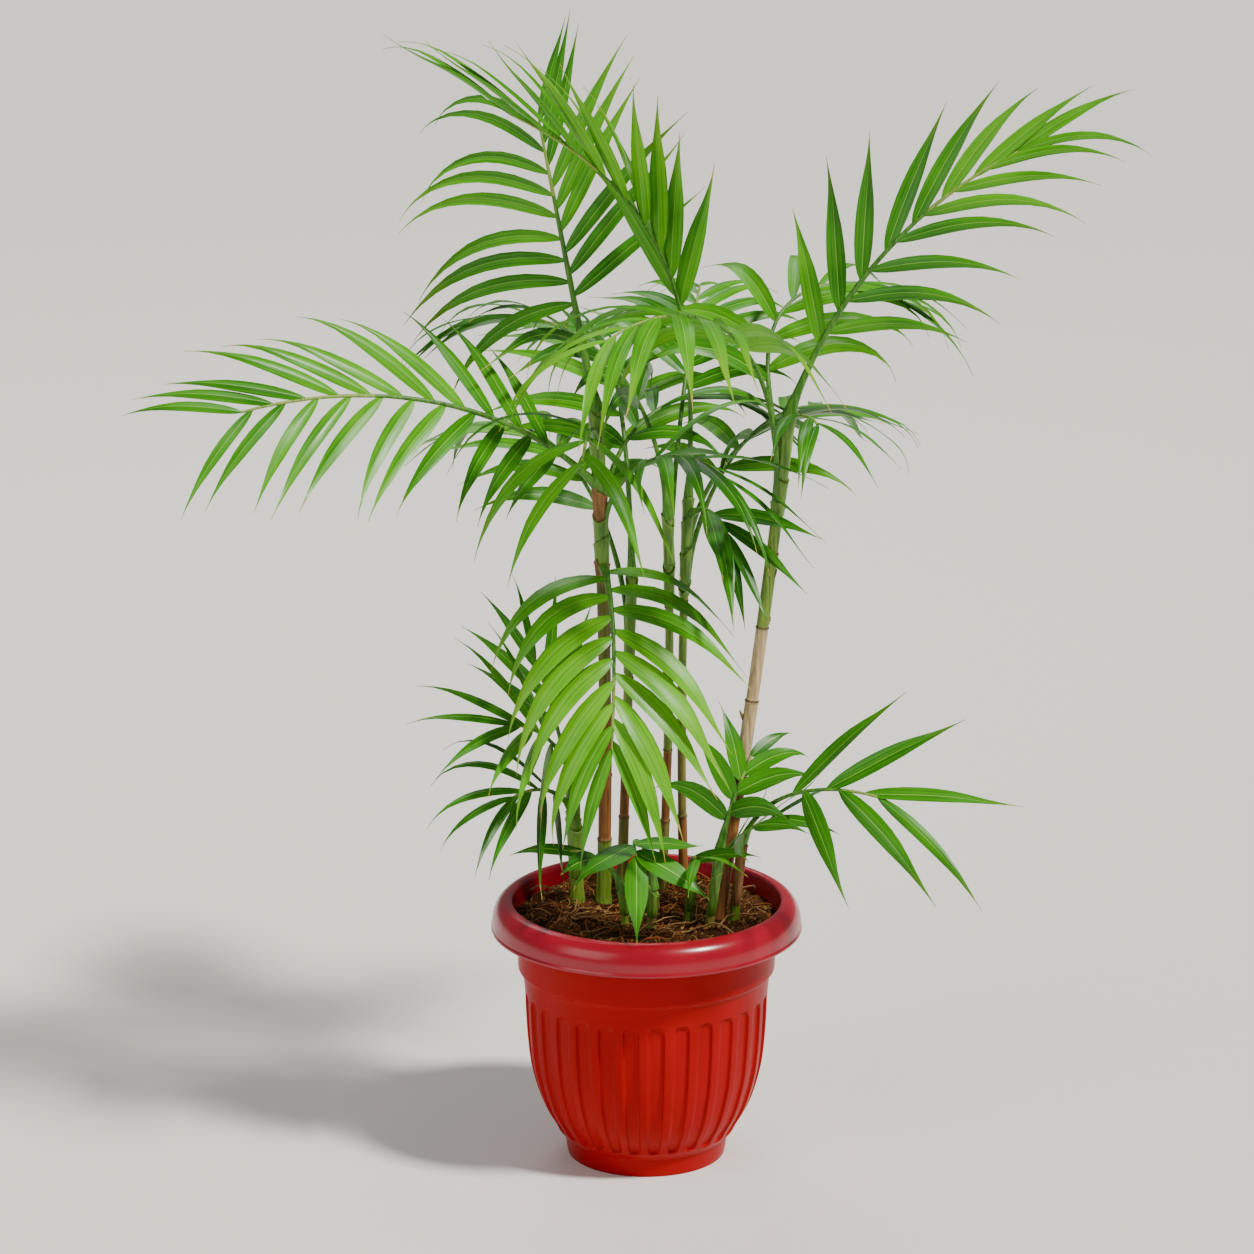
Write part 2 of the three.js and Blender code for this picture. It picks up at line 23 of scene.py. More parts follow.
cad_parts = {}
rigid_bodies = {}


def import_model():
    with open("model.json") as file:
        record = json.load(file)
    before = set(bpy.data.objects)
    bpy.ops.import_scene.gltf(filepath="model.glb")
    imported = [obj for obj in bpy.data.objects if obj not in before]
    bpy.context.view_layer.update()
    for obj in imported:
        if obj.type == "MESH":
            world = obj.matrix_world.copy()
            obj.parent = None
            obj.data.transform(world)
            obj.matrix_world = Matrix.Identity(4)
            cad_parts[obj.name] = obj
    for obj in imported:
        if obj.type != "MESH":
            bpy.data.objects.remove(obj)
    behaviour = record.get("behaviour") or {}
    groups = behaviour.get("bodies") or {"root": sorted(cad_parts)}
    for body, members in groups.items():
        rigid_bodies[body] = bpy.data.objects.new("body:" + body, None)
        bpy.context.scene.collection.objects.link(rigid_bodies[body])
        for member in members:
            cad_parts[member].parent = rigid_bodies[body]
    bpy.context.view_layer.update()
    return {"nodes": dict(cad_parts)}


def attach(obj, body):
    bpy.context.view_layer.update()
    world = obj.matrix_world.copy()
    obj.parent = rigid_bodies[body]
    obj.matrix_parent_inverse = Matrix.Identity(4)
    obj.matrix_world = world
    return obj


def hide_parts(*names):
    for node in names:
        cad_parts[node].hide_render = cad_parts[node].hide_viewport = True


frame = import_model()

LOG = logging.getLogger("palm")
MM = 0.001
UP = Vector((0, 0, 1))
Colour = tuple[float, float, float]
Pair = tuple[float, float]
Socket = bpy.types.NodeSocket

# What part.mjs measures from, repeated here in metres and degrees
RIM_R, RIM_TOP = 150 * MM, 260 * MM
SOIL_TOP, SOIL_EDGE = 247 * MM, 242 * MM
FLUTES, FLUTE_TURN, FLUTE_HALF = 30, 4.5, 3.95
# The numbers of its generator
SEED_STRIDE, COUNT_STRIDE, OFFSET, MODULUS, FACTOR = 7919, 104729, 12345, 2147483647, 48271
# Its leaflets: steps along a spine and a blade, how blades narrow and bend, their root and their ridge
SPINE_STEPS, LEAF_STEPS = 24, 20
TIP_SLIMMING, SAG_BEND = 0.4, 1.6
ROOT_SHARE, ROOT_RIDGE, BLADE_RIDGE = 0.16, 0.6, 1 / 85
# How far one row is shifted against the other, and how far the last pair stands short, in pairs
ROW_SHIFT, LAST_SHORT = 0.35, 0.65
# How much splay and keel in degrees, and length and droop as shares, differ from leaflet to leaflet
SPLAY_PLAY, KEEL_PLAY, LENGTH_PLAY, DROOP_PLAY = 5, 6, 0.06, 0.25
# A blade's outline: where it is widest, how full it is, how much its tip is drawn out and from where
WIDEST, FULLNESS, DRAWN_OUT, DRAWN_FROM = 0.62, 0.9, 0.6, 0.5
# The turns about the midrib that it tries, in this order, to keep a leaflet clear of its neighbours
NUDGES = (0, 6, -6, 12, -12, 18, -18, 26, -26, 34, -34)


def mix(low: float, high: float, share: float) -> float:
    """The value at a share of the way from low to high."""
    return low + (high - low) * share


def smooth(share: float) -> float:
    """A share from 0 to 1, eased at both ends."""
    share = min(max(share, 0.0), 1.0)
    return share * share * (3 - 2 * share)


def wobble(seed: int, count: int) -> float:
    """A repeatable number from -1 to 1, the same one that the part's source draws.

    Args:
        seed: The frond or piece that asks.
        count: Which of its draws this is.

    Returns:
        The number.
    """
    x = (seed * SEED_STRIDE + count * COUNT_STRIDE + OFFSET) % MODULUS
    for _ in range(3):
        x = (x * FACTOR) % MODULUS
    return x / (MODULUS / 2) - 1


def level_way(turn: float) -> Vector:
    """The level way at a turn in radians from +X."""
    return Vector((math.cos(turn), math.sin(turn), 0))


def ring(radius: float, count: int) -> list[Pair]:
    """Places spaced evenly round a circle, anticlockwise from +X."""
    turns = [2 * math.pi * k / count for k in range(count)]
    return [(radius * math.cos(a), radius * math.sin(a)) for a in turns]


def band(low: int, count: int) -> list[tuple[int, int, int, int]]:
    """The faces from one closed ring of corners to the next, which face outwards where the rings climb."""
    pairs = [(low + k, low + (k + 1) % count) for k in range(count)]
    return [(a, b, b + count, a + count) for a, b in pairs]


def painted(red: int, green: int, blue: int) -> Colour:
    """A colour as it looks on a screen, from 0 to 255, as the linear one that a shader takes."""
    shares = [c / 255 for c in (red, green, blue)]
    return tuple(c / 12.92 if c <= 10 / 255 else ((c + 0.055) / 1.055) ** 2.4 for c in shares)


def between(low: Colour, high: Colour, share: float) -> Colour:
    """The colour at a share of the way from low to high."""
    return tuple(mix(a, b, share) for a, b in zip(low, high))


# Materials

# What the long leaflets turn to towards their tips
RIPE = painted(150, 178, 26)


@dataclass(frozen=True)
class Pattern:
    """A soft random pattern from about 0.3 to 0.7.

    It has its repeats in a metre each way, its detail and roughness, and what it follows: the object's
    axes, or a blade's UV map, whose V runs along it.
    """

    repeats: Colour
    detail: float = 2.0
    roughness: float = 0.5
    source: str = "Object"


class Wiring:
    """A node tree, wired up call by call."""

    def __init__(self, tree: bpy.types.NodeTree) -> None:
        """Takes the tree to fill."""
        self.tree = tree

    def connect(self, socket: Socket, value: object) -> None:
        """Links a socket, or sets its value.

        Args:
            socket: The socket that takes the value.
            value: A socket to link from, or a plain value; a colour gets its alpha.
        """
        if isinstance(value, Socket):
            self.tree.links.new(value, socket)
        elif isinstance(value, tuple) and socket.type == "RGBA":
            socket.default_value = (*value, 1.0)
        else:
            socket.default_value = value

    def add(self, kind: str, inputs: dict[str | int, object], **settings: object) -> bpy.types.Node:
        """Adds a node.

        Args:
            kind: The node's type.
            inputs: A value or a socket for each input, by its name or number.
            settings: The node's own properties.

        Returns:
            The node.
        """
        node = self.tree.nodes.new(kind)
        for name, value in settings.items():
            setattr(node, name, value)
        for name, value in inputs.items():
            self.connect(node.inputs[name], value)
        return node


class Paint(Wiring):
    """A material with one Principled shader."""

    def __init__(self, name: str, roughness: float, specular: float) -> None:
        """Starts the material.

        Args:
            name: The material's name.
            roughness: Its plain roughness.
            specular: The shader's specular level.
        """
        self.material = bpy.data.materials.new(name)
        self.material.use_nodes = True
        super().__init__(self.material.node_tree)
        self.shader = self.tree.nodes["Principled BSDF"]
        self.set("Roughness", roughness)
        self.set("Specular IOR Level", specular)

    def set(self, socket: str, value: object) -> None:
        """Gives a socket of the shader a plain value, or links it."""
        self.connect(self.shader.inputs[socket], value)

    def noise(self, pattern: Pattern) -> Socket:
        """The values of a pattern.

        Args:
            pattern: The pattern.

        Returns:
            Its values.
        """
        axes = self.add("ShaderNodeTexCoord", {}).outputs[pattern.source]
        place = self.add("ShaderNodeMapping", {"Vector": axes, "Scale": pattern.repeats}).outputs["Vector"]
        inputs = {"Vector": place, "Scale": 1.0, "Detail": pattern.detail, "Roughness": pattern.roughness}
        return self.add("ShaderNodeTexNoise", inputs).outputs["Fac"]

    def run(self) -> Socket:
        """How far along the blade a place is, in metres."""
        place = self.add("ShaderNodeTexCoord", {}).outputs["UV"]
        return self.add("ShaderNodeSeparateXYZ", {"Vector": place}).outputs["Y"]

    def spread(self, source: Socket, reach: Pair, low: float = 0.0, high: float = 1.0) -> Socket:
        """The values of a reach, stretched from low to high."""
        inputs = {"Value": source, "From Min": reach[0], "From Max": reach[1], "To Min": low, "To Max": high}
        return self.add("ShaderNodeMapRange", inputs).outputs["Result"]

    def blend(self, share: Socket, low: Socket | Colour, high: Socket | Colour) -> Socket:
        """The colour at a share of the way from low to high."""
        # A Mix node's sockets 6 and 7, and its result 2, are those for colours
        return self.add("ShaderNodeMix", {0: share, 6: low, 7: high}, data_type="RGBA").outputs[2]

    def gloss(self, pattern: Socket, reach: Pair, uneven: Pair) -> None:
        """Makes the shader smoother and rougher by up to these amounts, over a pattern's reach."""
        plain = self.shader.inputs["Roughness"].default_value
        self.set("Roughness", self.spread(pattern, reach, plain - uneven[0], plain + uneven[1]))

    def bump(self, height: Socket, distance: float, strength: float) -> None:
        """Raises the surface by a pattern, up to a distance in metres."""
        inputs = {"Height": height, "Distance": distance, "Strength": strength}
        self.set("Normal", self.add("ShaderNodeBump", inputs).outputs["Normal"])


@dataclass(frozen=True)
class Finish:
    """A finish: slow patches between two tones, with a fine pattern of the light colour over them."""

    name: str
    dark: Colour
    light: Colour
    roughness: float
    specular: float = 0.4
    # The patches, their two tones as shares of the way from dark to light, and their reach
    patches: Pattern = Pattern((60, 60, 22))
    tones: Pair = (0.0, 0.45)
    patch_reach: Pair = (0.35, 0.65)
    # The fine pattern, the reach of it that shows in colour and how strongly it does
    fine: Pattern = Pattern((420, 420, 14), 3.0, 0.6)
    fine_reach: Pair = (0.38, 0.66)
    fine_most: float = 1.0
    # How much smoother and rougher the gloss gets, over which pattern and its reach
    uneven: Pair = (0.06, 0.12)
    gloss_by_patches: bool = False
    gloss_reach: Pair = (0.3, 0.7)
    # How high the fine pattern stands, or one of its own, and how sharply
    relief: float = 0.2 * MM
    relief_by: Pattern | None = None
    sharpness: float = 0.6
    # How ripe a blade gets, and how far out in metres that starts and is full
    ripening: float = 0.0
    ripe_reach: Pair = (0.105, 0.19)

    def material(self) -> bpy.types.Material:
        """The finish as a node material.

        Returns:
            The material.
        """
        paint = Paint(self.name, self.roughness, self.specular)
        patches, fine = paint.noise(self.patches), paint.noise(self.fine)
        low, high = (between(self.dark, self.light, share) for share in self.tones)
        colour = paint.blend(paint.spread(patches, self.patch_reach), low, high)
        if self.fine_most:
            colour = paint.blend(paint.spread(fine, self.fine_reach, 0.0, self.fine_most), colour, self.light)
        if self.ripening:
            ripe = paint.spread(paint.run(), self.ripe_reach, 0.0, self.ripening)
            colour = paint.blend(ripe, colour, RIPE)
        paint.set("Base Color", colour)
        if any(self.uneven):
            paint.gloss(patches if self.gloss_by_patches else fine, self.gloss_reach, self.uneven)
        if self.relief:
            paint.bump(paint.noise(self.relief_by) if self.relief_by else fine, self.relief, self.sharpness)
        return paint.material


@dataclass(frozen=True)
class BladeFinish(Finish):
    """A leaflet's satin blade, veined along its length and riper far out."""

    roughness: float = 0.33
    specular: float = 0.26
    patches: Pattern = Pattern((14, 14, 14))
    tones: Pair = (0.1, 0.55)
    fine: Pattern = Pattern((380, 4, 1), 3.0, 0.7, "UV")
    fine_reach: Pair = (0.45, 0.7)
    fine_most: float = 0.72
    uneven: Pair = (0.05, 0.08)
    gloss_by_patches: bool = True
    relief: float = 0.25 * MM
    relief_by: Pattern | None = Pattern((700, 5, 1), 1.0, 0.5, "UV")
    sharpness: float = 0.5
    ripening: float = 0.6


@dataclass(frozen=True)
class PlasticFinish(Finish):
    """Moulded plastic: faint flow marks, scuffs in its soft gloss and, below the rim, a fine grain."""

    patches: Pattern = Pattern((14, 14, 9))
    tones: Pair = (0.0, 1.0)
    patch_reach: Pair = (0.35, 0.7)
    fine: Pattern = Pattern((40, 40, 40))
    fine_most: float = 0.0
    uneven: Pair = (0.02, 0.04)
    gloss_reach: Pair = (0.35, 0.7)
    relief: float = 0.0
    relief_by: Pattern | None = Pattern((700, 700, 700), 1.0)
    sharpness: float = 0.2


@dataclass(frozen=True)
class EarthFinish(Finish):
    """Potting mix, bark or fibre: rough, with a broken colour that is darker where it is damp."""

    roughness: float = 0.92
    specular: float = 0.08
    patches: Pattern = Pattern((38, 38, 38))
    tones: Pair = (0.0, 0.4)
    fine: Pattern = Pattern((600, 600, 600), 5.0, 0.7)
    fine_reach: Pair = (0.42, 0.72)
    uneven: Pair = (0.0, 0.0)
    relief: float = 0.8 * MM
    sharpness: float = 0.8


@dataclass(frozen=True)
class FloorFinish:
    """The pale, matte studio floor."""

    name: str = "studio_floor"
    colour: Colour = (0.8, 0.79, 0.77)
    roughness: float = 0.85
    specular: float = 0.2

    def material(self) -> bpy.types.Material:
        """An even material.

        Returns:
            The material.
        """
        paint = Paint(self.name, self.roughness, self.specular)
        paint.set("Base Color", self.colour)
        return paint.material


# The streaks of green and dry sheaths, and the finer grain of bark and of rootlets
STREAKS = Pattern((300, 300, 14), 3.0, 0.6)
DRY_STREAKS = Pattern((500, 500, 14), 3.0, 0.6)
BARK_GRAIN = Pattern((900, 900, 900), 5.0, 0.7)
FIBRES = Pattern((1200, 1200, 1200), 5.0, 0.7)


class Leaf(Enum):
    """The blade tones that the fronds share out."""

    # SHADE is a darker copy of the blade for fronds inside the crown and near the soil: painted shade
    SHADE = BladeFinish("leaf_shade", painted(12, 68, 2), painted(54, 128, 8))
    DEEP = BladeFinish("leaf_deep", painted(20, 88, 2), painted(76, 158, 12))
    GREEN = BladeFinish("leaf_green", painted(32, 108, 2), painted(102, 184, 18))
    FRESH = BladeFinish("leaf_fresh", painted(46, 126, 2), painted(126, 202, 24))


class Skin(Enum):
    """The other finishes of the plant and its planter."""

    VEIN = BladeFinish("leaf_midrib", painted(106, 170, 50), painted(156, 204, 86), 0.42, ripening=0.0)
    TIP = BladeFinish("leaf_dry_tip", painted(150, 138, 50), painted(196, 176, 88), 0.6, ripening=0.0)
    PETIOLE = Finish("petiole_green", painted(28, 82, 10), painted(84, 140, 34), 0.42)
    PETIOLE_PALE = Finish("petiole_pale", painted(92, 128, 36), painted(150, 172, 76), 0.45)
    CANE_GREEN = Finish("cane_green", painted(62, 96, 22), painted(128, 156, 52), 0.42)
    CANE_OLIVE = Finish("cane_olive", painted(72, 74, 26), painted(132, 124, 54), 0.5)
    CANE_BROWN = Finish("cane_brown", painted(78, 44, 16), painted(154, 98, 44), 0.62)
    CANE_TAN = Finish("cane_tan", painted(132, 106, 68), painted(208, 184, 140), 0.6)
    SCAR = Finish("cane_ring", painted(58, 44, 24), painted(120, 98, 58), 0.7)
    SHEATH = Finish("sheath_green", painted(56, 100, 24), painted(116, 156, 56), 0.48, fine=STREAKS)
    SHEATH_DRY = Finish(
        "sheath_dry", painted(66, 40, 20), painted(150, 108, 62), 0.8, fine=DRY_STREAKS, relief=0.5 * MM
    )
    PLASTIC = PlasticFinish(
        "planter_red", (0.33, 0.0004, 0.002), (0.38, 0.0008, 0.003), 0.34, 0.09, relief=0.03 * MM
    )
    # The rim is the wall's plastic in a darker crimson with a blue tint; the tint is a painted reflection of
    # the pale surroundings
    PLASTIC_RIM = PlasticFinish("planter_rim_red", (0.27, 0.001, 0.012), (0.33, 0.002, 0.018), 0.22, 0.5)
    EARTH = EarthFinish("potting_mix", painted(26, 15, 8), painted(80, 50, 26))
    BARK_DARK = EarthFinish("bark_dark", painted(46, 27, 14), painted(108, 68, 36), fine=BARK_GRAIN)
    BARK_RED = EarthFinish("bark_red", painted(92, 48, 22), painted(166, 96, 50), fine=BARK_GRAIN)
    BARK_TAN = EarthFinish("bark_tan", painted(120, 80, 42), painted(192, 142, 84), fine=BARK_GRAIN)
    ROOTLET = EarthFinish("rootlet", painted(92, 62, 32), painted(176, 136, 86), fine=FIBRES, relief=0.3 * MM)
    FLOOR = FloorFinish()


def finish(kind: Leaf | Skin) -> bpy.types.Material:
    """The material of a finish, made the first time that it is asked for."""
    return bpy.data.materials.get(kind.value.name) or kind.value.material()


# Geometry Nodes

LINE_VECTORS = ("across", "up")
LINE_NUMBERS = ("half", "high", "run", "tone")
SECTION_NUMBERS = ("lean", "rise", "depth", "vein", "crease")
SWEEP_FIELDS = {"spot", *LINE_VECTORS, *LINE_NUMBERS, *SECTION_NUMBERS}
# Past this a mark of 0 or 1 counts as set
MARKED = 0.9


class GeometryTree(Wiring):
    """A geometry node tree with named inputs for its sizes."""

    def __init__(self, name: str) -> None:
        """Starts a tree that takes geometry and gives geometry.

        Args:
            name: The tree's name.
        """
        super().__init__(bpy.data.node_groups.new(name, "GeometryNodeTree"))
        self.identifiers: dict[str, str] = {}
        self.source = self.tree.nodes.new("NodeGroupInput")
        self.sink = self.tree.nodes.new("NodeGroupOutput")
        self.tree.interface.new_socket("Geometry", in_out="OUTPUT", socket_type="NodeSocketGeometry")
        self.geometry = self.size("Geometry", "Geometry")

    def size(self, name: str, kind: str) -> Socket:
        """Adds a named input.

        Args:
            name: The input's name.
            kind: What it takes, such as Float or Material.

        Returns:
            The socket that gives it.
        """
        item = self.tree.interface.new_socket(name, in_out="INPUT", socket_type=f"NodeSocket{kind}")
        self.identifiers[name] = item.identifier
        return self.source.outputs[name]

    def change(self, kind: str, inputs: dict[str | int, object], **settings: object) -> Socket:
        """Adds a geometry node, and returns what comes out first; the geometry is its first input."""
        return self.add(f"GeometryNode{kind}", inputs, **settings).outputs[0]

    def number(self, operation: str, *values: object) -> Socket:
        """The result of a sum on numbers or sockets."""
        return self.add("ShaderNodeMath", dict(enumerate(values)), operation=operation).outputs[0]

    def vector(self, operation: str, one: Socket, other: Socket) -> Socket:
        """The result of a sum on two vectors, or on a vector and a number to scale it by."""
        inputs = {0: one, "Scale" if operation == "SCALE" else 1: other}
        return self.add("ShaderNodeVectorMath", inputs, operation=operation).outputs[0]

    def draw(self, seed: int) -> Socket:
        """A random number from 0 to 1 for each instance."""
        return self.add("FunctionNodeRandomValue", {"Seed": seed}, data_type="FLOAT").outputs[1]

    def named(self, name: str, kind: str = "FLOAT") -> Socket:
        """The values of an attribute."""
        return self.change("InputNamedAttribute", {"Name": name}, data_type=kind)

    def store(self, geometry: Socket, name: str, value: Socket, kind: str, domain: str) -> Socket:
        """Stores values on a geometry as a named attribute, and returns the geometry."""
        inputs = {0: geometry, "Name": name, "Value": value}
        return self.change("StoreNamedAttribute", inputs, data_type=kind, domain=domain)

    def first_corner(self, value: Socket) -> Socket:
        """A point's value as each face's: that of the face's first corner.

        Args:
            value: The values at the points.

        Returns:
            The values at the faces.
        """
        corner = self.add("GeometryNodeCornersOfFace", {"Sort Index": 0}).outputs["Corner Index"]
        vertex = self.add("GeometryNodeVertexOfCorner", {"Corner Index": corner}).outputs["Vertex Index"]
        inputs = {"Index": vertex, "Value": value}
        return self.change("FieldAtIndex", inputs, data_type="FLOAT", domain="POINT")

    def dress(self, geometry: Socket, chosen: Socket, name: str) -> Socket:
        """Gives the chosen faces the material of a new named input, and returns the geometry."""
        inputs = {0: geometry, "Selection": chosen, "Material": self.size(name, "Material")}
        return self.change("SetMaterial", inputs)

    def deal(self, geometry: Socket, tone: Socket, count: int) -> Socket:
        """Deals the materials named Tone 0, Tone 1 and so on to the faces by their tone.

        Args:
            geometry: What is dressed.
            tone: The number of its material at each face.
            count: How many materials there are.

        Returns:
            The dressed geometry.
        """
        for i in range(count):
            # Equal to i, within half a step
            chosen = self.number("COMPARE", tone, float(i), 0.5)
            geometry = self.dress(geometry, chosen, f"Tone {i}")
        return geometry

    def run(self, source: bpy.types.Mesh, name: str, values: dict[str, object]) -> bpy.types.Object:
        """Runs the tree on a mesh and keeps the result as a plain mesh.

        Args:
            source: The mesh that the tree starts from.
            name: The new piece's name.
            values: A value for each named input.

        Returns:
            The piece, with no modifier left on it.
        """
        piece = linked(name, source)
        modifier = piece.modifiers.new(self.tree.name, "NODES")
        modifier.node_group = self.tree
        for key, value in values.items():
            modifier[self.identifiers[key]] = value
        bpy.context.view_layer.update()
        graph = bpy.context.evaluated_depsgraph_get()
        evaluated = piece.evaluated_get(graph)
        made = bpy.data.meshes.new_from_object(evaluated, preserve_all_data_layers=True, depsgraph=graph)
        piece.modifiers.remove(modifier)
        piece.data = made
        made.name = name
        bpy.data.meshes.remove(source)
        for spent in [a.name for a in made.attributes if a.name in SWEEP_FIELDS]:
            made.attributes.remove(made.attributes[spent])
        return piece


def linked(name: str, shown: bpy.types.ID) -> bpy.types.Object:
    """A new object in the scene.

    Args:
        name: The object's name.
        shown: The mesh, lamp or camera that it shows.

    Returns:
        The object.
    """
    made = bpy.data.objects.new(name, shown)
    bpy.context.scene.collection.objects.link(made)
    return made


def solid(name: str, corners: Sequence[tuple], faces: Sequence[tuple], *skins: Skin) -> bpy.types.Object:
    """A smooth piece from its corners and faces.

    Args:
        name: The piece's name.
        corners: Its corners in metres.
        faces: The numbers of each face's corners.
        skins: Its finishes.

    Returns:
        The piece.
    """
    made = bpy.data.meshes.new(name)
    made.from_pydata(corners, [], faces)
    made.polygons.foreach_set("use_smooth", [True] * len(made.polygons))
    for skin in skins:
        made.materials.append(finish(skin))
    return linked(name, made)


def hand_in(piece: bpy.types.Object, slot: str, *nodes: str) -> None:
    """Rides a finished piece on the root body, hides the CAD nodes that it stands for and logs which they
    are.

    Args:
        piece: The finished piece.
        slot: The record's material slot; not used.
        nodes: The CAD nodes that it replaces.
    """
    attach(piece, "root")
    if nodes:
        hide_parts(*nodes)
    stands_for = ", ".join(nodes) or "no node"
    LOG.info("%s: %d faces, stands for %s", piece.name, len(piece.data.polygons), stands_for)


# Sections swept along lines


@dataclass(frozen=True)
class Station:
    """One point of a line, with the section's frame and size there."""

    point: Vector
    across: Vector
    up: Vector
    half: float
    high: float
    run: float
    tone: float = 0.0


@dataclass(frozen=True)
class Corner:
    """One corner of a section: its place across and up, its depth and whether it is vein or crease."""

    lean: float
    rise: float
    depth: float = 0.0
    vein: float = 0.0
    crease: float = 0.0


def note(mesh: bpy.types.Mesh, rows: Sequence[Station] | Sequence[Corner], names: Sequence[str]) -> None:
    """Keeps fields of some rows on a mesh's points, as attributes of the same names.

    Args:
        mesh: The mesh, with a point for each row.
        rows: The rows.
        names: The fields.
    """
    kind, key = ("FLOAT_VECTOR", "vector") if names is LINE_VECTORS else ("FLOAT", "value")
    for name in names:
        values = np.array([getattr(row, name) for row in rows], np.float32)
        mesh.attributes.new(name, kind, "POINT").data.foreach_set(key, values.ravel())


def section(name: str, corners: Sequence[Corner]) -> bpy.types.Object:
    """A closed section as an object that the sweep can read.

    Args:
        name: The object's name.
        corners: Its corners, anticlockwise as seen from the line's end.

    Returns:
        The object, which the caller removes after the sweeps.
    """
    made = bpy.data.meshes.new(name)
    count = len(corners)
    made.from_pydata([(c.lean, c.rise, 0) for c in corners], [(i, (i + 1) % count) for i in range(count)], [])
    note(made, corners, SECTION_NUMBERS)
    return linked(name, made)


def round_section(name: str, sides: int) -> bpy.types.Object:
    """A round section of a number of sides."""
    return section(name, [Corner(x, y) for x, y in ring(1, sides)])


@cache
def sweep_tree(tones: int) -> GeometryTree:
    """The tree that sweeps a section along lines.

    Each line's points say how wide and high the section is there and which way it faces, so
    blades, midribs, canes and rootlets all come from it.

    Args:
        tones: How many materials it deals out.

    Returns:
        The tree, whose inputs are Section, Vein and each Tone.
    """
    tree = GeometryTree(f"sweep_in_{tones}_tones")
    shape = tree.size("Section", "Object")
    spotted = tree.store(tree.geometry, "spot", tree.change("InputPosition", {}), "FLOAT_VECTOR", "POINT")
    loop = tree.add("GeometryNodeObjectInfo", {"Object": shape}).outputs["Geometry"]
    lines, loop = (tree.change("MeshToCurve", {0: mesh}) for mesh in (spotted, loop))
    swept = tree.change("CurveToMesh", {"Curve": lines, "Profile Curve": loop, "Fill Caps": True})
    wide = tree.number("MULTIPLY", tree.named("lean"), tree.named("half"))
    tall = tree.number("MULTIPLY", tree.named("rise"), tree.named("high"))
    tall = tree.number("ADD", tall, tree.named("depth"))
    aside = tree.vector("SCALE", tree.named("across", "FLOAT_VECTOR"), wide)
    offset = tree.vector("ADD", aside, tree.vector("SCALE", tree.named("up", "FLOAT_VECTOR"), tall))
    place = tree.vector("ADD", tree.named("spot", "FLOAT_VECTOR"), offset)
    moved = tree.change("SetPosition", {0: swept, "Position": place})
    flat = tree.add("ShaderNodeCombineXYZ", {"X": wide, "Y": tree.named("run")}).outputs[0]
    mapped = tree.store(moved, "UVMap", flat, "FLOAT2", "CORNER")
    shaded = tree.change("SetShadeSmooth", {0: mapped, "Shade Smooth": True})
    margin = tree.number("GREATER_THAN", tree.named("crease"), MARKED)
    creased = {0: shaded, "Selection": margin, "Shade Smooth": False}
    whole = tree.change("RealizeInstances", {0: tree.change("SetShadeSmooth", creased, domain="EDGE")})
    dealt = tree.deal(whole, tree.first_corner(tree.named("tone")), tones)
    dressed = tree.dress(dealt, tree.number("GREATER_THAN", tree.named("vein"), MARKED), "Vein")
    tree.connect(tree.sink.inputs["Geometry"], dressed)
    return tree


def sweep(
    name: str, shape: bpy.types.Object, lines: Sequence[Sequence[Station]], *skins: Leaf | Skin
) -> bpy.types.Object:
    """Sweeps a section along lines.

    Args:
        name: The piece's name.
        shape: The section.
        lines: The stations of each line, in order.
        skins: The finish of each tone, and last that of the vein.

    Returns:
        The piece.
    """
    stations = [station for line in lines for station in line]
    edges, start = [], 0
    for line in lines:
        edges += [(start + i, start + i + 1) for i in range(len(line) - 1)]
        start += len(line)
    made = bpy.data.meshes.new("lines")
    made.from_pydata([s.point for s in stations], edges, [])
    note(made, stations, LINE_VECTORS)
    note(made, stations, LINE_NUMBERS)
    values = {f"Tone {i}": finish(skin) for i, skin in enumerate(skins[:-1])}
    values |= {"Vein": finish(skins[-1]), "Section": shape}
    return sweep_tree(len(skins) - 1).run(made, name, values)


# The plant's rule


@dataclass(frozen=True)
class Cane:
    """One cane of the clump. Lengths are in metres."""

    name: str
    foot: Pair
    top: Pair
    height: float
    radii: Pair
    bow: Pair
    rings: float
    skins: tuple[Skin, ...]

    @classmethod
    def measured(
        cls, name: str, foot: Pair, top: Pair, height: float, radii: Pair, bow: Pair, rings: float, skins: str
    ) -> "Cane":
        """A cane from its measures in millimetres.

        Args:
            name: The cane's name.
            foot: Where its axis meets the soil.
            top: Where its axis ends, in plan.
            height: How high it ends.
            radii: Its radius at the foot and at the top.
            bow: How far its middle stands off the straight line.
            rings: From one ring to the next.
            skins: The tones of its internodes, shared evenly from the foot up.

        Returns:
            The cane.
        """
        foot, top, radii, bow = (tuple(v * MM for v in pair) for pair in (foot, top, radii, bow))
        tones = tuple(Skin[f"CANE_{tone.upper()}"] for tone in skins.split())
        return cls(name, foot, top, height * MM, radii, bow, rings * MM, tones)

    def share(self, z: float) -> float:
        """The share of the way from the soil to the cane's top at a height."""
        return (z - SOIL_TOP) / (self.height - SOIL_TOP)

    def middle(self, z: float) -> Vector:
        """The middle of the cane at a height.

        Args:
            z: The height.

        Returns:
            The point.
        """
        t = self.share(z)
        # 1 halfway up, and 0 at both ends
        bent = 4 * t * (1 - t)
        x, y = (mix(low, high, t) + bow * bent for low, high, bow in zip(self.foot, self.top, self.bow))
        return Vector((x, y, z))

    def radius(self, z: float) -> float:
        """The cane's plain radius at a height."""
        return mix(*self.radii, self.share(z))


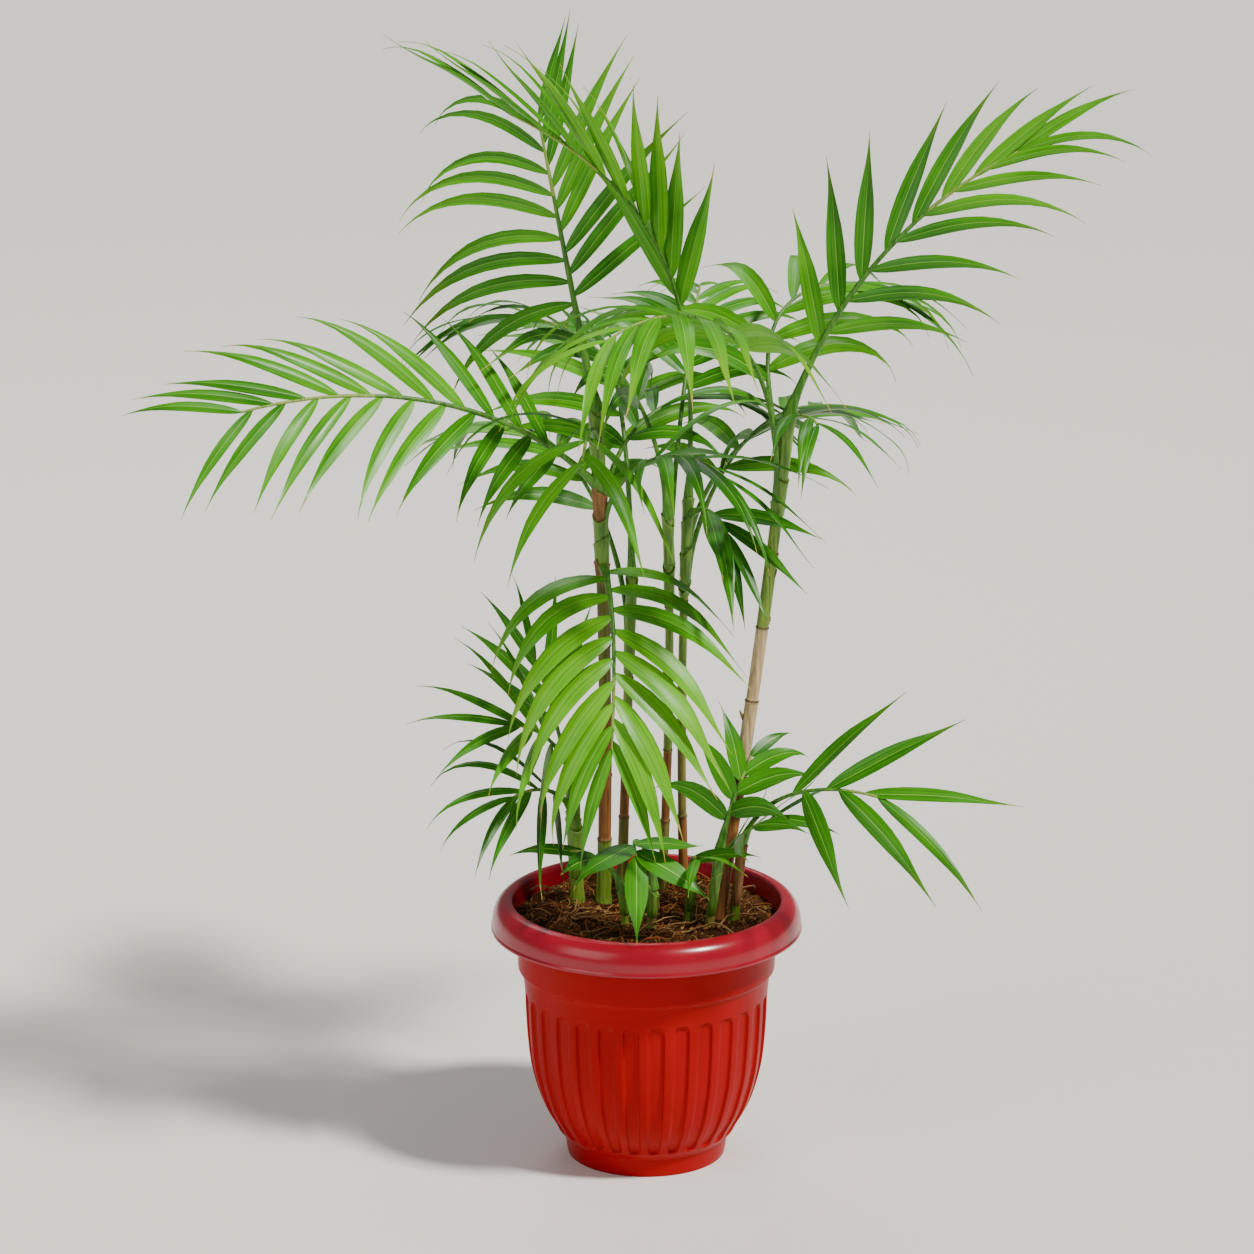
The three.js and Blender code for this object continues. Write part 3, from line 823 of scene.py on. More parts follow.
@dataclass(frozen=True)
class Frond:
    """One frond. Lengths are in metres and angles in degrees."""

    name: str
    cane: str
    tones: tuple[Leaf, ...]
    at: float
    bearing: float
    rise: float
    arch: float
    petiole: float
    rachis: float
    seed: int = 0
    sweep: float = 0
    bend: float = 1.2
    pairs: int = 8
    leaflet: float = 150 * MM
    width: float = 19 * MM
    splay: Pair = (65, 22)
    splay_other: Pair | None = None
    keel: float = 4
    cant: float = 12
    roll: float = 0
    droop: float = 0.7
    droop_other: float | None = None
    tip: float = 0.35
    base: float = 0.2
    # What shows of the width, in the other row and in this one, and how stout the petiole is
    slim: Pair = (0.82, 0.82)
    stout: float = 1.0

    @classmethod
    def measured(cls, name: str, cane: str, tones: str, **sizes: float | Pair) -> "Frond":
        """A frond from its measures, with its lengths in millimetres.

        Args:
            name: The frond's name.
            cane: The cane that carries it.
            tones: The two tones that its leaflets are dealt.
            sizes: The other fields that differ from the usual ones.

        Returns:
            The frond.
        """
        lengths = ("at", "petiole", "rachis", "leaflet", "width")
        leaves = tuple(Leaf[tone.upper()] for tone in tones.split())
        return cls(name, cane, leaves, **{k: v * MM if k in lengths else v for k, v in sizes.items()})

    def heading(self, t: float) -> tuple[Vector, Vector, Vector]:
        """How the midrib faces at a share of its length.

        Args:
            t: The share.

        Returns:
            The way that it runs, its side and its upper face.
        """
        bearing = math.radians(self.bearing + self.sweep * t)
        pitch = math.radians(self.rise - self.arch * t**self.bend)
        along = level_way(bearing) * math.cos(pitch) + UP * math.sin(pitch)
        level = Vector((math.sin(bearing), -math.cos(bearing), 0))
        above = level.cross(along)
        roll = math.radians(self.roll)
        side = level * math.cos(roll) + above * math.sin(roll)
        return along, side, above * math.cos(roll) - level * math.sin(roll)

    def spine(self, cane: Cane) -> list[Vector]:
        """The points that the midrib follows.

        Args:
            cane: The cane that carries the frond.

        Returns:
            The points, from the middle of the cane to the frond's tip.
        """
        points = [cane.middle(self.at)]
        step = (self.petiole + self.rachis) / SPINE_STEPS
        for i in range(SPINE_STEPS):
            points.append(points[-1] + self.heading((i + 0.5) / SPINE_STEPS)[0] * step)
        return points


def on_spine(points: Sequence[Vector], t: float) -> Vector:
    """The point on a midrib at a share of its length."""
    x = min(max(t * SPINE_STEPS, 0), SPINE_STEPS - 1e-6)
    return points[int(x)].lerp(points[int(x) + 1], x - int(x))


@dataclass(frozen=True)
class Leaflet:
    """One leaflet: where it leaves the midrib, its way, its size and its place in the frond."""

    root: Vector
    start: Vector
    across: Vector
    length: float
    sag: float
    width: float
    count: int

    @classmethod
    def grown(cls, frond: Frond, points: Sequence[Vector], pair: int, row: int, lift: float) -> "Leaflet":
        """A leaflet by the rule of the part's source, which gives every number in it.

        Args:
            frond: The frond that carries it.
            points: The frond's spine.
            pair: Which pair it belongs to, from the foot.
            row: 1 or -1, for the side of the midrib.
            lift: The turn about the midrib that keeps it clear of its neighbours.

        Returns:
            The leaflet.
        """
        count = 2 * pair + (row > 0)
        u = (pair + (ROW_SHIFT if row > 0 else 0)) / (frond.pairs - LAST_SHORT)
        t = (frond.petiole + frond.rachis * u) / (frond.petiole + frond.rachis)
        along, side, face = frond.heading(t)
        splay = frond.splay if row > 0 else frond.splay_other or frond.splay
        droop = frond.droop if row > 0 or frond.droop_other is None else frond.droop_other
        out = math.radians(mix(*splay, u) + SPLAY_PLAY * wobble(frond.seed, 3 * count))
        keel = math.radians(frond.keel + KEEL_PLAY * wobble(frond.seed, 3 * count + 1) + lift)
        start = along * math.cos(out) + (side * row * math.cos(keel) + face * math.sin(keel)) * math.sin(out)
        flat = (along - start * along.dot(start)).normalized()
        across = Matrix.Rotation(math.radians(row * frond.cant), 3, start.normalized()) @ flat
        shorter = (1 - frond.tip * u * u) * (1 - frond.base * (1 - u) ** 3)
        length = frond.leaflet * shorter * (1 + LENGTH_PLAY * wobble(frond.seed, 3 * count + 5))
        sag = droop * (1 + DROOP_PLAY * wobble(frond.seed, 3 * count + 2))
        width = frond.width * (1 - TIP_SLIMMING * u * u)
        return cls(on_spine(points, t), start, across, length, sag, width, count)

    def way(self, s: float) -> Vector:
        """The way that the blade runs at a share of its length."""
        return (self.start - UP * self.sag * s**SAG_BEND).normalized()

    def middle(self) -> list[Vector]:
        """The points that the blade follows.

        Returns:
            The points, from the midrib to the blade's tip.
        """
        points = [self.root.copy()]
        for i in range(LEAF_STEPS):
            points.append(points[-1] + self.way((i + 0.5) / LEAF_STEPS) * (self.length / LEAF_STEPS))
        return points


def outline(s: float) -> float:
    """A leaflet's share of its full width at a share of its length, drawn out to a thread at the tip."""
    full = max(math.sin(math.pi * s**WIDEST), 0.0) ** FULLNESS
    return full * (1 - DRAWN_OUT * smooth((s - DRAWN_FROM) / (1 - DRAWN_FROM)))


CANES = tuple(Cane.measured(*row) for row in (
    ("main", (-42, 23), (-49, 0), 750, (7, 5.5), (5, 0), 66,
        "green brown brown olive olive green green green"),
    ("right", (68, -24), (134, 0), 745, (7, 5.5), (4, 0), 72,
        "brown brown tan tan tan green green green"),
    ("left", (-67, 23), (-72, 18), 372, (6.5, 5.5), (0, 0), 40, "green olive olive green"),
    ("middle_left", (15, 59), (20, 28), 640, (4.6, 4), (4, 0), 74, "olive brown green green green"),
    ("middle_right", (37, 72), (40, 50), 650, (4.6, 4), (-4, 0), 74, "brown olive green green"),
    ("rear", (-24, 74), (-14, 90), 560, (5.2, 4.2), (0, 0), 70, "olive brown green green"),
    ("side", (84, -28), (92, -34), 330, (4.4, 3.6), (0, 0), 34, "green green"),
    ("shoot", (60, -50), (70, -52), 328, (4, 3.4), (0, 0), 30, "olive green"),
    ("sprout_front", (4, -54), (7, -56), 292, (4.6, 3.6), (0, 0), 22, "olive green"),
    ("sprout_left", (-20, -48), (-24, -50), 286, (3.6, 3), (0, 0), 22, "green"),
    ("sprout_right", (40, -36), (44, -40), 290, (4.2, 3.4), (0, 0), 22, "green"),
))

# Fronds inside the crown and low by the soil are dealt the shade tone, a darker copy of the blade that is
# painted shade
FRONDS = (
    Frond.measured("leader", "main", "deep green", at=745, bearing=168, rise=79, arch=0, petiole=104,
        rachis=174, pairs=9, leaflet=182, splay=(54, 20), splay_other=(84, 36), roll=80, droop=0.3,
        droop_other=1.4, tip=0.4, base=0.1, stout=1.45),
    Frond.measured("crest", "middle_right", "green fresh", at=645, bearing=285, sweep=-100, rise=80,
        arch=54, bend=1.5, petiole=210, rachis=280, pairs=9, leaflet=187, width=26, splay=(32, 14),
        splay_other=(22, 12), keel=50, cant=30, droop=0.4, tip=0.25, slim=(0.74, 0.74), stout=0.9),
    Frond.measured("right", "right", "green deep", at=740, bearing=0, rise=71, arch=44, bend=1.1,
        petiole=75, rachis=264, leaflet=168, width=23, splay=(50, 5), splay_other=(42, 6), keel=10,
        roll=-76, droop=0.9, droop_other=0.4, tip=0.25, slim=(0.82, 0.62), stout=1.2),
    Frond.measured("left", "main", "green deep", at=668, bearing=205, sweep=-10, rise=50, arch=62,
        bend=0.85, petiole=60, rachis=322, pairs=11, leaflet=170, width=21, splay=(38, 22),
        splay_other=(66, 34), keel=8, roll=58, droop=0.4, droop_other=0.7, tip=0.3, base=0.4, stout=1.1),
    Frond.measured("front", "main", "fresh green", at=594, bearing=285, sweep=-25, rise=-10, arch=66,
        bend=0.45, petiole=14, rachis=178, pairs=9, leaflet=184, width=33, splay=(86, 24), keel=10, cant=22,
        droop=2.1, slim=(0.74, 0.74)),
    Frond.measured("arch_left", "right", "green fresh", at=655, bearing=246, sweep=-30, rise=87, arch=112,
        bend=1.35, petiole=178, rachis=190, leaflet=205, width=31, splay=(74, 34), splay_other=(66, 30),
        droop=2.4, droop_other=1.5, tip=0.3, slim=(0.72, 0.72)),
    Frond.measured("arch_right", "right", "green deep", at=684, bearing=150, sweep=-150, rise=80, arch=92,
        bend=1.5, petiole=90, rachis=170, pairs=6, leaflet=178, width=22, splay=(60, 20), keel=5, roll=-10,
        droop=1.4, tip=0.2),
    Frond.measured("centre", "middle_left", "shade deep", at=632, bearing=150, sweep=30, rise=84, arch=92,
        bend=1.5, petiole=110, rachis=180, leaflet=168, width=22, splay=(62, 20), droop=1.3),
    Frond.measured("inner", "middle_right", "shade deep", at=596, bearing=20, sweep=-100, rise=76, arch=84,
        bend=1.3, petiole=125, rachis=130, pairs=6, width=22, droop=1.4),
    Frond.measured("hook", "main", "deep shade", at=644, bearing=62, sweep=-46, rise=68, arch=95,
        petiole=70, rachis=150, pairs=7, droop=1.4),
    Frond.measured("drape", "main", "deep shade", at=618, bearing=326, rise=82, arch=120, petiole=88,
        rachis=112, pairs=6, leaflet=165, width=20, splay=(60, 15), droop=1.2),
    Frond.measured("veil", "main", "deep green", at=712, bearing=262, rise=52, arch=96, bend=1, petiole=44,
        rachis=62, pairs=3, leaflet=165, width=29, splay=(84, 34), droop=2.3, tip=0.1, base=0),
    Frond.measured("fan", "middle_right", "shade deep", at=626, bearing=312, sweep=-10, rise=55, arch=112,
        bend=0.9, petiole=30, rachis=44, pairs=4, leaflet=140, width=22, splay=(36, 8), roll=-15,
        droop=0.5),
    Frond.measured("low_left", "left", "deep green", at=366, bearing=226, sweep=-14, rise=78, arch=62,
        bend=1.1, petiole=56, rachis=50, pairs=4, leaflet=148, width=19, splay=(40, 4),
        splay_other=(74, 20), keel=8, roll=50, droop=0.3, droop_other=0.8, tip=0.2),
    Frond.measured("left_foot", "left", "deep shade", at=338, bearing=232, sweep=-12, rise=62, arch=75,
        bend=1, petiole=40, rachis=55, pairs=4, leaflet=140, width=18, splay=(50, 10), splay_other=(70, 15),
        keel=0, roll=40, droop=1),
    Frond.measured("left_rise", "left", "deep shade", at=330, bearing=125, sweep=40, rise=80, arch=12,
        bend=1, petiole=92, rachis=70, pairs=3, leaflet=132, width=17, splay=(34, 10), roll=60, droop=0.3),
    Frond.measured("low_right", "side", "deep green", at=324, bearing=300, sweep=50, rise=66, arch=80,
        bend=1, petiole=96, rachis=88, pairs=3, leaflet=160, width=24, splay=(62, 24), splay_other=(34, 12),
        keel=5, roll=-50, droop=0.6, droop_other=0.4, tip=0.1, base=0.1, slim=(0.9, 0.9)),
    Frond.measured("shoot", "shoot", "deep shade", at=322, bearing=20, sweep=40, rise=80, arch=36,
        petiole=34, rachis=66, pairs=4, leaflet=88, width=25, splay=(58, 18), roll=-40, droop=0.9,
        base=0.1),
    Frond.measured("foot_right", "shoot", "deep shade", at=300, bearing=320, sweep=30, rise=74, arch=54,
        bend=1, petiole=38, rachis=54, pairs=3, leaflet=104, width=24, splay=(62, 24), roll=-10, droop=0.35,
        base=0.1),
    Frond.measured("sprout_front", "sprout_front", "deep green", at=288, bearing=170, sweep=120, rise=86,
        arch=140, bend=2, petiole=78, rachis=16, pairs=2, leaflet=84, width=40, splay=(84, 12),
        splay_other=(80, 50), keel=0, droop=0.5, tip=0, slim=(0.95, 0.95)),
    Frond.measured("sprout_left", "sprout_left", "shade deep", at=282, bearing=195, rise=80, arch=75,
        bend=1, petiole=44, rachis=30, pairs=2, leaflet=96, width=21, splay=(50, 20), keel=0, roll=10,
        droop=0.6, slim=(1.0, 1.0)),
    Frond.measured("sprout_right", "sprout_right", "shade deep", at=286, bearing=262, sweep=20, rise=74,
        arch=70, bend=1, petiole=36, rachis=40, pairs=2, leaflet=92, width=21, splay=(60, 20), keel=0,
        roll=-10, droop=0.8, slim=(1.0, 1.0)),
    Frond.measured("rear", "rear", "deep green", at=556, bearing=95, sweep=10, rise=76, arch=98, bend=1.3,
        petiole=130, rachis=260, leaflet=165, width=21, droop=0.9),
    Frond.measured("rear_right", "middle_right", "deep green", at=560, bearing=55, sweep=-10, rise=72,
        arch=100, petiole=110, rachis=205, pairs=6, leaflet=158, width=21, droop=0.9),
    Frond.measured("rear_left", "rear", "green deep", at=500, bearing=118, sweep=15, rise=76, arch=100,
        petiole=130, rachis=220, pairs=7, leaflet=155, width=21, splay=(60, 22), droop=1),
    Frond.measured("rear_top", "middle_left", "deep green", at=585, bearing=72, sweep=15, rise=80, arch=84,
        bend=1.5, petiole=165, rachis=180, splay=(62, 20), droop=0.9),
)


# Fronds


class Trait(Enum):
    """What is drawn for a leaflet by chance, by the number of the draw that it starts from."""

    TONE, DRYNESS, TWIST, RIPPLE, SICKLE, HOOK = range(500, 1100, 100)


@dataclass
class Foliage:
    """Every frond's leaflets and midrib."""

    canes: dict[str, Cane]
    # Where a blade has stations, of its LEAF_STEPS steps
    stations: tuple[int, ...] = (0, 1, 2, 3, 5, 7, 9, 11, 13, 15, 17, 18, 19, 20)
    # How near a leaflet's tip is to a corner of the CAD node that is the same
    match: float = 0.5 * MM
    # The section: half the vein's width, the thicknesses that it sinks below, and where its shoulder is
    vein_half: float = 0.042
    vein_sink: float = 1.4
    shoulder: Pair = (0.52, 0.74)
    thickness: float = 0.4 * MM
    tip_half: float = 0.22 * MM
    # Below this draw a leaflet has its frond's first tone, and from this share of its length it is dry
    first_tone: float = 0.2
    dry_from: float = 0.93
    dry_spread: float = 0.045
    # The most that a blade turns in degrees, and bends aside and back, as shares of its length
    twist: float = 22.0
    sickle: float = 0.035
    hook: float = 0.06
    hook_from: float = 0.7
    hook_play: Pair = (0.7, 0.6)
    # The midrib's ripples: how strong, how many and how far they are shifted
    ripple: float = 0.3
    ripples: float = 9.0
    ripple_shift: float = 3.0
    steepest: float = 0.4
    petiole_r: float = 3.2 * MM
    midrib_r: float = 1.3 * MM
    rib_taper: float = 0.8
    # How much the petiole widens at the cane, its small knots, and how flat it is
    flare: float = 0.75
    flare_length: float = 22 * MM
    knot: float = 0.04
    knots: float = 40.0
    flatness: float = 0.92
    pale_from: float = 0.6
    rib_stations: int = 48
    rib_sides: int = 10

    def blade_section(self) -> list[Corner]:
        """A blade's section: a low roof with rounded halves, and the midrib as a narrow strip.

        Returns:
            Its corners.
        """
        v, t, (lean, rise) = self.vein_half, self.thickness, self.shoulder
        over = [Corner(1, 0, 0, 0, 1), Corner(lean, rise), Corner(v, 1, 0, 1), Corner(-v, 1, 0, 1)]
        over += [Corner(-lean, rise), Corner(-1, 0, 0, 0, 1)]
        under = [Corner(x, 1, -self.vein_sink * t, 1) for x in (-v, v)]
        return [*over, Corner(-lean, rise, -t), *under, Corner(lean, rise, -t)]

    def leaflets(self, frond: Frond, points: Sequence[Vector]) -> list[Leaflet]:
        """A frond's leaflets, turned as the part's source turned them.

        The frame shows the turn: only with the right one, a leaflet's tip is a corner of the CAD node.

        Args:
            frond: The frond.
            points: Its spine.

        Returns:
            The leaflets, without those that the source left out.
        """
        corners = frame["nodes"][f"frond_{frond.name}"].data.vertices
        tips = KDTree(len(corners))
        for i, corner in enumerate(corners):
            tips.insert(corner.co, i)
        tips.balance()
        made = []
        for pair in range(frond.pairs):
            for row in (1, -1):
                tries = (Leaflet.grown(frond, points, pair, row, nudge) for nudge in NUDGES)
                found = next((leaf for leaf in tries if tips.find(leaf.middle()[-1])[2] < self.match), None)
                made += [found] if found else []
        return made

    def blade(self, frond: Frond, leaf: Leaflet) -> list[Station]:
        """The stations of one blade, from inside the midrib to its dry tip.

        Args:
            frond: The frond, whose tones and seed it uses.
            leaf: The leaflet.

        Returns:
            The stations in order.
        """
        draws = (wobble(frond.seed, trait.value + leaf.count) for trait in Trait)
        tone, dryness, twist, phase, sickle, hook = draws
        middle = leaf.middle()
        ridge = leaf.length * BLADE_RIDGE
        slim = frond.slim[leaf.count % 2]
        body = 0 if tone < self.first_tone else 1
        dry_from = self.dry_from + self.dry_spread * dryness
        sickle *= self.sickle * leaf.length
        twist *= math.radians(self.twist)
        phase *= self.ripple_shift
        hook = self.hook * leaf.length * (self.hook_play[0] + self.hook_play[1] * hook)
        made = []
        for i in self.stations:
            s = i / LEAF_STEPS
            along = leaf.way(s)
            across = (leaf.across - along * leaf.across.dot(along)).normalized()
            across = Matrix.Rotation(twist * s * s, 3, along) @ across
            half = max(slim * leaf.width * max(outline(s), ROOT_SHARE if i == 0 else 0) / 2, self.tip_half)
            high = min(ridge * (1 if i else ROOT_RIDGE), self.steepest * half)
            high *= 1 + self.ripple * math.sin(self.ripples * s + phase)
            bent = max(s - self.hook_from, 0) / (1 - self.hook_from)
            point = middle[i] + across * sickle * s * s - along.cross(across) * hook * bent * bent
            tone = len(frond.tones) if s >= dry_from else body
            made.append(Station(point, across, along.cross(across), half, high, s * leaf.length, tone))
        return made

    def rib(self, frond: Frond, points: Sequence[Vector]) -> list[Station]:
        """The stations of a petiole and its midrib, flared where they leave the cane.

        Args:
            frond: The frond.
            points: Its spine.

        Returns:
            The stations in order.
        """
        made = []
        length = frond.petiole + frond.rachis
        stout = self.petiole_r * frond.stout
        for i in range(self.rib_stations + 1):
            t = i / self.rib_stations
            _, side, face = frond.heading(t)
            r = mix(stout, self.midrib_r, t**self.rib_taper)
            r *= 1 + self.flare * math.exp(-((t * length / self.flare_length) ** 2))
            r *= 1 + self.knot * math.sin(self.knots * t + frond.seed)
            tone = 0 if t * length < frond.petiole + self.pale_from * frond.rachis else 1
            made.append(Station(on_spine(points, t), face, side, r * self.flatness, r, t * length, tone))
        return made

    def build(self) -> None:
        """Builds a piece of leaflets and a piece of midrib for each frond."""
        blade = section("blade_section", self.blade_section())
        rod = round_section("rod_section", self.rib_sides)
        for seed, row in enumerate(FRONDS, 1):
            frond = replace(row, seed=seed)
            points = frond.spine(self.canes[frond.cane])
            lines = [self.blade(frond, leaf) for leaf in self.leaflets(frond, points)]
            piece = sweep(f"leaflets_{frond.name}", blade, lines, *frond.tones, Skin.TIP, Skin.VEIN)
            hand_in(piece, "frond", f"frond_{frond.name}")
            skins = Skin.PETIOLE, Skin.PETIOLE_PALE, Skin.PETIOLE_PALE
            piece = sweep(f"midrib_{frond.name}", rod, [self.rib(frond, points)], *skins)
            hand_in(piece, "frond", f"frond_{frond.name}")
        for spent in (blade, rod):
            bpy.data.objects.remove(spent)


# Canes


@dataclass
class Clump:
    """The canes with their rings, and the leaf sheaths that clasp them."""

    canes: dict[str, Cane]
    gap: float = 0.3 * MM
    sides: int = 18
    foot_flare: float = 0.3
    foot_length: float = 7 * MM
    # Stations above the foot in millimetres, and at the top, with how much the cane draws in there
    foot_steps: tuple[float, ...] = (0, 2, 5, 9, 14)
    top_steps: tuple[Pair, ...] = ((9, 0.0), (5, 0.06), (2, 0.2), (0, 0.45))
    # Stations between rings, as shares of the way down from one, and the share of the radius there
    waist_at: Pair = (0.6, 0.3)
    waist: float = 0.985
    # Each ring: height off its middle in millimetres and share of the radius, from below to above
    ring_shape: tuple[Pair, ...] = (
        (-4, 1.0), (-1.6, 1.02), (-0.7, 1.1), (0, 1.12), (0.8, 1.07), (1.3, 0.97), (3, 0.955), (8, 0.965),
    )
    scar: Pair = (-0.8, 1.0)
    # From this far below a ring, a station belongs to the internode above it
    ring_reach: float = 2 * MM
    uneven: float = 0.025
    uneven_seed: int = 40
    oval: float = 0.03
    oval_turn: float = 0.3
    # No ring and no sheath edge comes nearer than this to the cane's end, the soil or a petiole
    clear: float = 12 * MM
    sheath_sides: int = 16
    sheath_length: float = 62 * MM
    sheath_wall: float = 1.1 * MM
    sheath_fit: float = 1.04
    sheath_seed: int = 60
    # How much thicker it stands off under the petiole, and how far its edge rises there and starts down
    sheath_swell: float = 0.35
    sheath_rise: Pair = (6, 1)
    # How far a cane's first sheath may reach down from its top, in sheaths, and one from the next
    sheath_reach: float = 1.6
    sheath_gap: float = 8 * MM
    # Share of a sheath's height, and how many of its walls it stands off the cane there
    sheath_shape: tuple[Pair, ...] = (
        (0.0, -0.5), (0.02, 0.5), (0.3, 0.75), (0.7, 1.0), (0.93, 1.5), (1.0, 1.9), (1.0, 1.2), (0.9, -0.6),
    )
    # How ragged its upper edge is in millimetres, green and dry, and the fronds whose sheath is dry
    ragged: Pair = (1.2, 4)
    dried: tuple[str, ...] = ("left", "front", "low_right")
    # Each dry stub of an old leaf: its cane, its height and length in millimetres, and its bearing
    stubs: tuple[tuple[str, float, float, float], ...] = (
        ("right", 442, 14, 185), ("right", 535, 12, 5), ("right", 582, 12, -15), ("right", 370, 12, 20),
        ("right", 640, 10, 200), ("main", 452, 12, 190), ("main", 520, 12, 10), ("left", 322, 12, 30),
        ("middle_left", 470, 10, 200), ("rear", 410, 12, 80), ("middle_right", 430, 10, 60),
    )
    # Share of a stub's length, and its radius there in millimetres
    stub_shape: tuple[Pair, ...] = ((0.0, 2.6), (0.3, 2.1), (0.7, 1.4), (1.0, 0.5))
    # How far out in the cane it starts, as a share of the radius, and how steeply it rises and bends up
    stub_root: float = 0.4
    stub_rise: Pair = (1, 1.5)

    def heights(self, cane: Cane) -> list[tuple[float, float, bool]]:
        """Where a cane has a station.

        Args:
            cane: The cane.

        Returns:
            The height, the share of the radius and whether a scar starts, at each from the foot up.
        """
        foot = SOIL_TOP + self.gap
        made = [(foot + d * MM, 1.0, False) for d in self.foot_steps]
        ring_at = foot + cane.rings
        while ring_at < cane.height - self.clear:
            made += [(ring_at - cane.rings * share, self.waist, False) for share in self.waist_at]
            for d, swell in self.ring_shape:
                made.append((ring_at + d * MM, swell, self.scar[0] <= d < self.scar[1]))
            ring_at += cane.rings
        return sorted(made + [(cane.height - d * MM, 1 - cut, False) for d, cut in self.top_steps])

    def stem(self, number: int, cane: Cane) -> list[Station]:
        """The stations of one cane, from its cut foot to its rounded top.

        Args:
            number: The cane's number, for its small differences.
            cane: The cane.

        Returns:
            The stations in order.
        """
        made = []
        foot = SOIL_TOP + self.gap
        for i, (z, swell, scar) in enumerate(self.heights(cane)):
            internode = int((z - foot + self.ring_reach) / cane.rings)
            middle = (internode + 0.5) * cane.rings / (cane.height - foot)
            skin = min(int(middle * len(cane.skins)), len(cane.skins) - 1)
            flare = 1 + self.foot_flare * math.exp(-(z - foot) / self.foot_length)
            uneven = 1 + self.uneven * wobble(number + self.uneven_seed, internode)
            r = cane.radius(z) * swell * flare * uneven
            along = (cane.middle(z + MM) - cane.middle(z - MM)).normalized()
            across = (Vector((1, 0, 0)) - along * along.x).normalized()
            oval = 1 + self.oval * math.sin(self.oval_turn * i)
            tone = len(cane.skins) if scar else skin
            made.append(Station(cane.middle(z), across, along.cross(across), r * oval, r / oval, z, tone))
        return made

    def stub(self, cane: Cane, z: float, length: float, bearing: float) -> list[Station]:
        """The stations of one dry stub, from inside its cane to its thin end.

        Args:
            cane: The cane that carries it.
            z: The height that it leaves at.
            length: Its length.
            bearing: The way that it points, in degrees.

        Returns:
            The stations in order.
        """
        flat = level_way(math.radians(bearing))
        level = UP.cross(flat)
        point = cane.middle(z) + flat * cane.radius(z) * self.stub_root
        made, before = [], 0.0
        for share, r in self.stub_shape:
            way = (flat + UP * (self.stub_rise[0] + self.stub_rise[1] * share)).normalized()
            point = point + way * length * (share - before)
            made.append(Station(point, level, way.cross(level), r * MM, r * MM, share * length))
            before = share
        return made

    def sheath(self, cane: Cane, frond: Frond, low: float, mesh: bmesh.types.BMesh) -> None:
        """Adds the sheath that clasps a cane below a frond's petiole, brown and ragged where it is dry.

        Args:
            cane: The cane.
            frond: The frond, whose bearing says where the sheath stands highest.
            low: The height of the sheath's lower edge.
            mesh: The mesh that it is added to.
        """
        dry = frond.name in self.dried
        corners = []
        for share, wall in self.sheath_shape:
            for k in range(self.sheath_sides):
                turn = 2 * math.pi * k / self.sheath_sides
                facing = math.cos(turn - math.radians(frond.bearing))
                rag = self.ragged[dry] * MM * wobble(self.sheath_seed, k)
                top = frond.at + (self.sheath_rise[0] * facing - self.sheath_rise[1]) * MM + rag
                z = mix(low, top, share)
                stand = self.sheath_wall * wall * (1 + self.sheath_swell * max(facing, 0) * share)
                r = cane.radius(z) * self.sheath_fit + stand
                corners.append(mesh.verts.new(cane.middle(z) + level_way(turn) * r))
        for row in range(len(self.sheath_shape)):
            for numbers in band(row * self.sheath_sides, self.sheath_sides):
                face = mesh.faces.new([corners[n % len(corners)] for n in numbers])
                face.smooth = True
                face.material_index = int(dry)

    def sheaths(self) -> bpy.types.Object:
        """The sheaths of all the fronds.

        Returns:
            The piece.
        """
        mesh = bmesh.new()
        for cane in self.canes.values():
            below = cane.height - self.sheath_reach * self.sheath_length
            for frond in sorted((f for f in FRONDS if f.cane == cane.name), key=lambda f: f.at):
                low = max(frond.at - self.sheath_length, below, SOIL_TOP + self.clear)
                self.sheath(cane, frond, min(low, frond.at - self.clear), mesh)
                below = frond.at - self.sheath_gap
        made = bpy.data.meshes.new("leaf_sheaths")
        bmesh.ops.recalc_face_normals(mesh, faces=mesh.faces)
        mesh.to_mesh(made)
        mesh.free()
        for skin in (Skin.SHEATH, Skin.SHEATH_DRY):
            made.materials.append(finish(skin))
        return linked("leaf_sheaths", made)

    def build(self) -> None:
        """Builds a piece for each cane, one for all the stubs and one for all the sheaths."""
        disc = round_section("cane_section", self.sides)
        for number, cane in enumerate(self.canes.values()):
            skins = *cane.skins, Skin.SCAR, Skin.SCAR
            piece = sweep(f"stem_{cane.name}", disc, [self.stem(number, cane)], *skins)
            hand_in(piece, "cane", f"cane_{cane.name}")
        lines = [self.stub(self.canes[name], z * MM, long * MM, turn) for name, z, long, turn in self.stubs]
        hand_in(sweep("cane_stubs", disc, lines, Skin.SHEATH_DRY, Skin.SHEATH_DRY), "cane")
        bpy.data.objects.remove(disc)
        hand_in(self.sheaths(), "cane")


# Planter


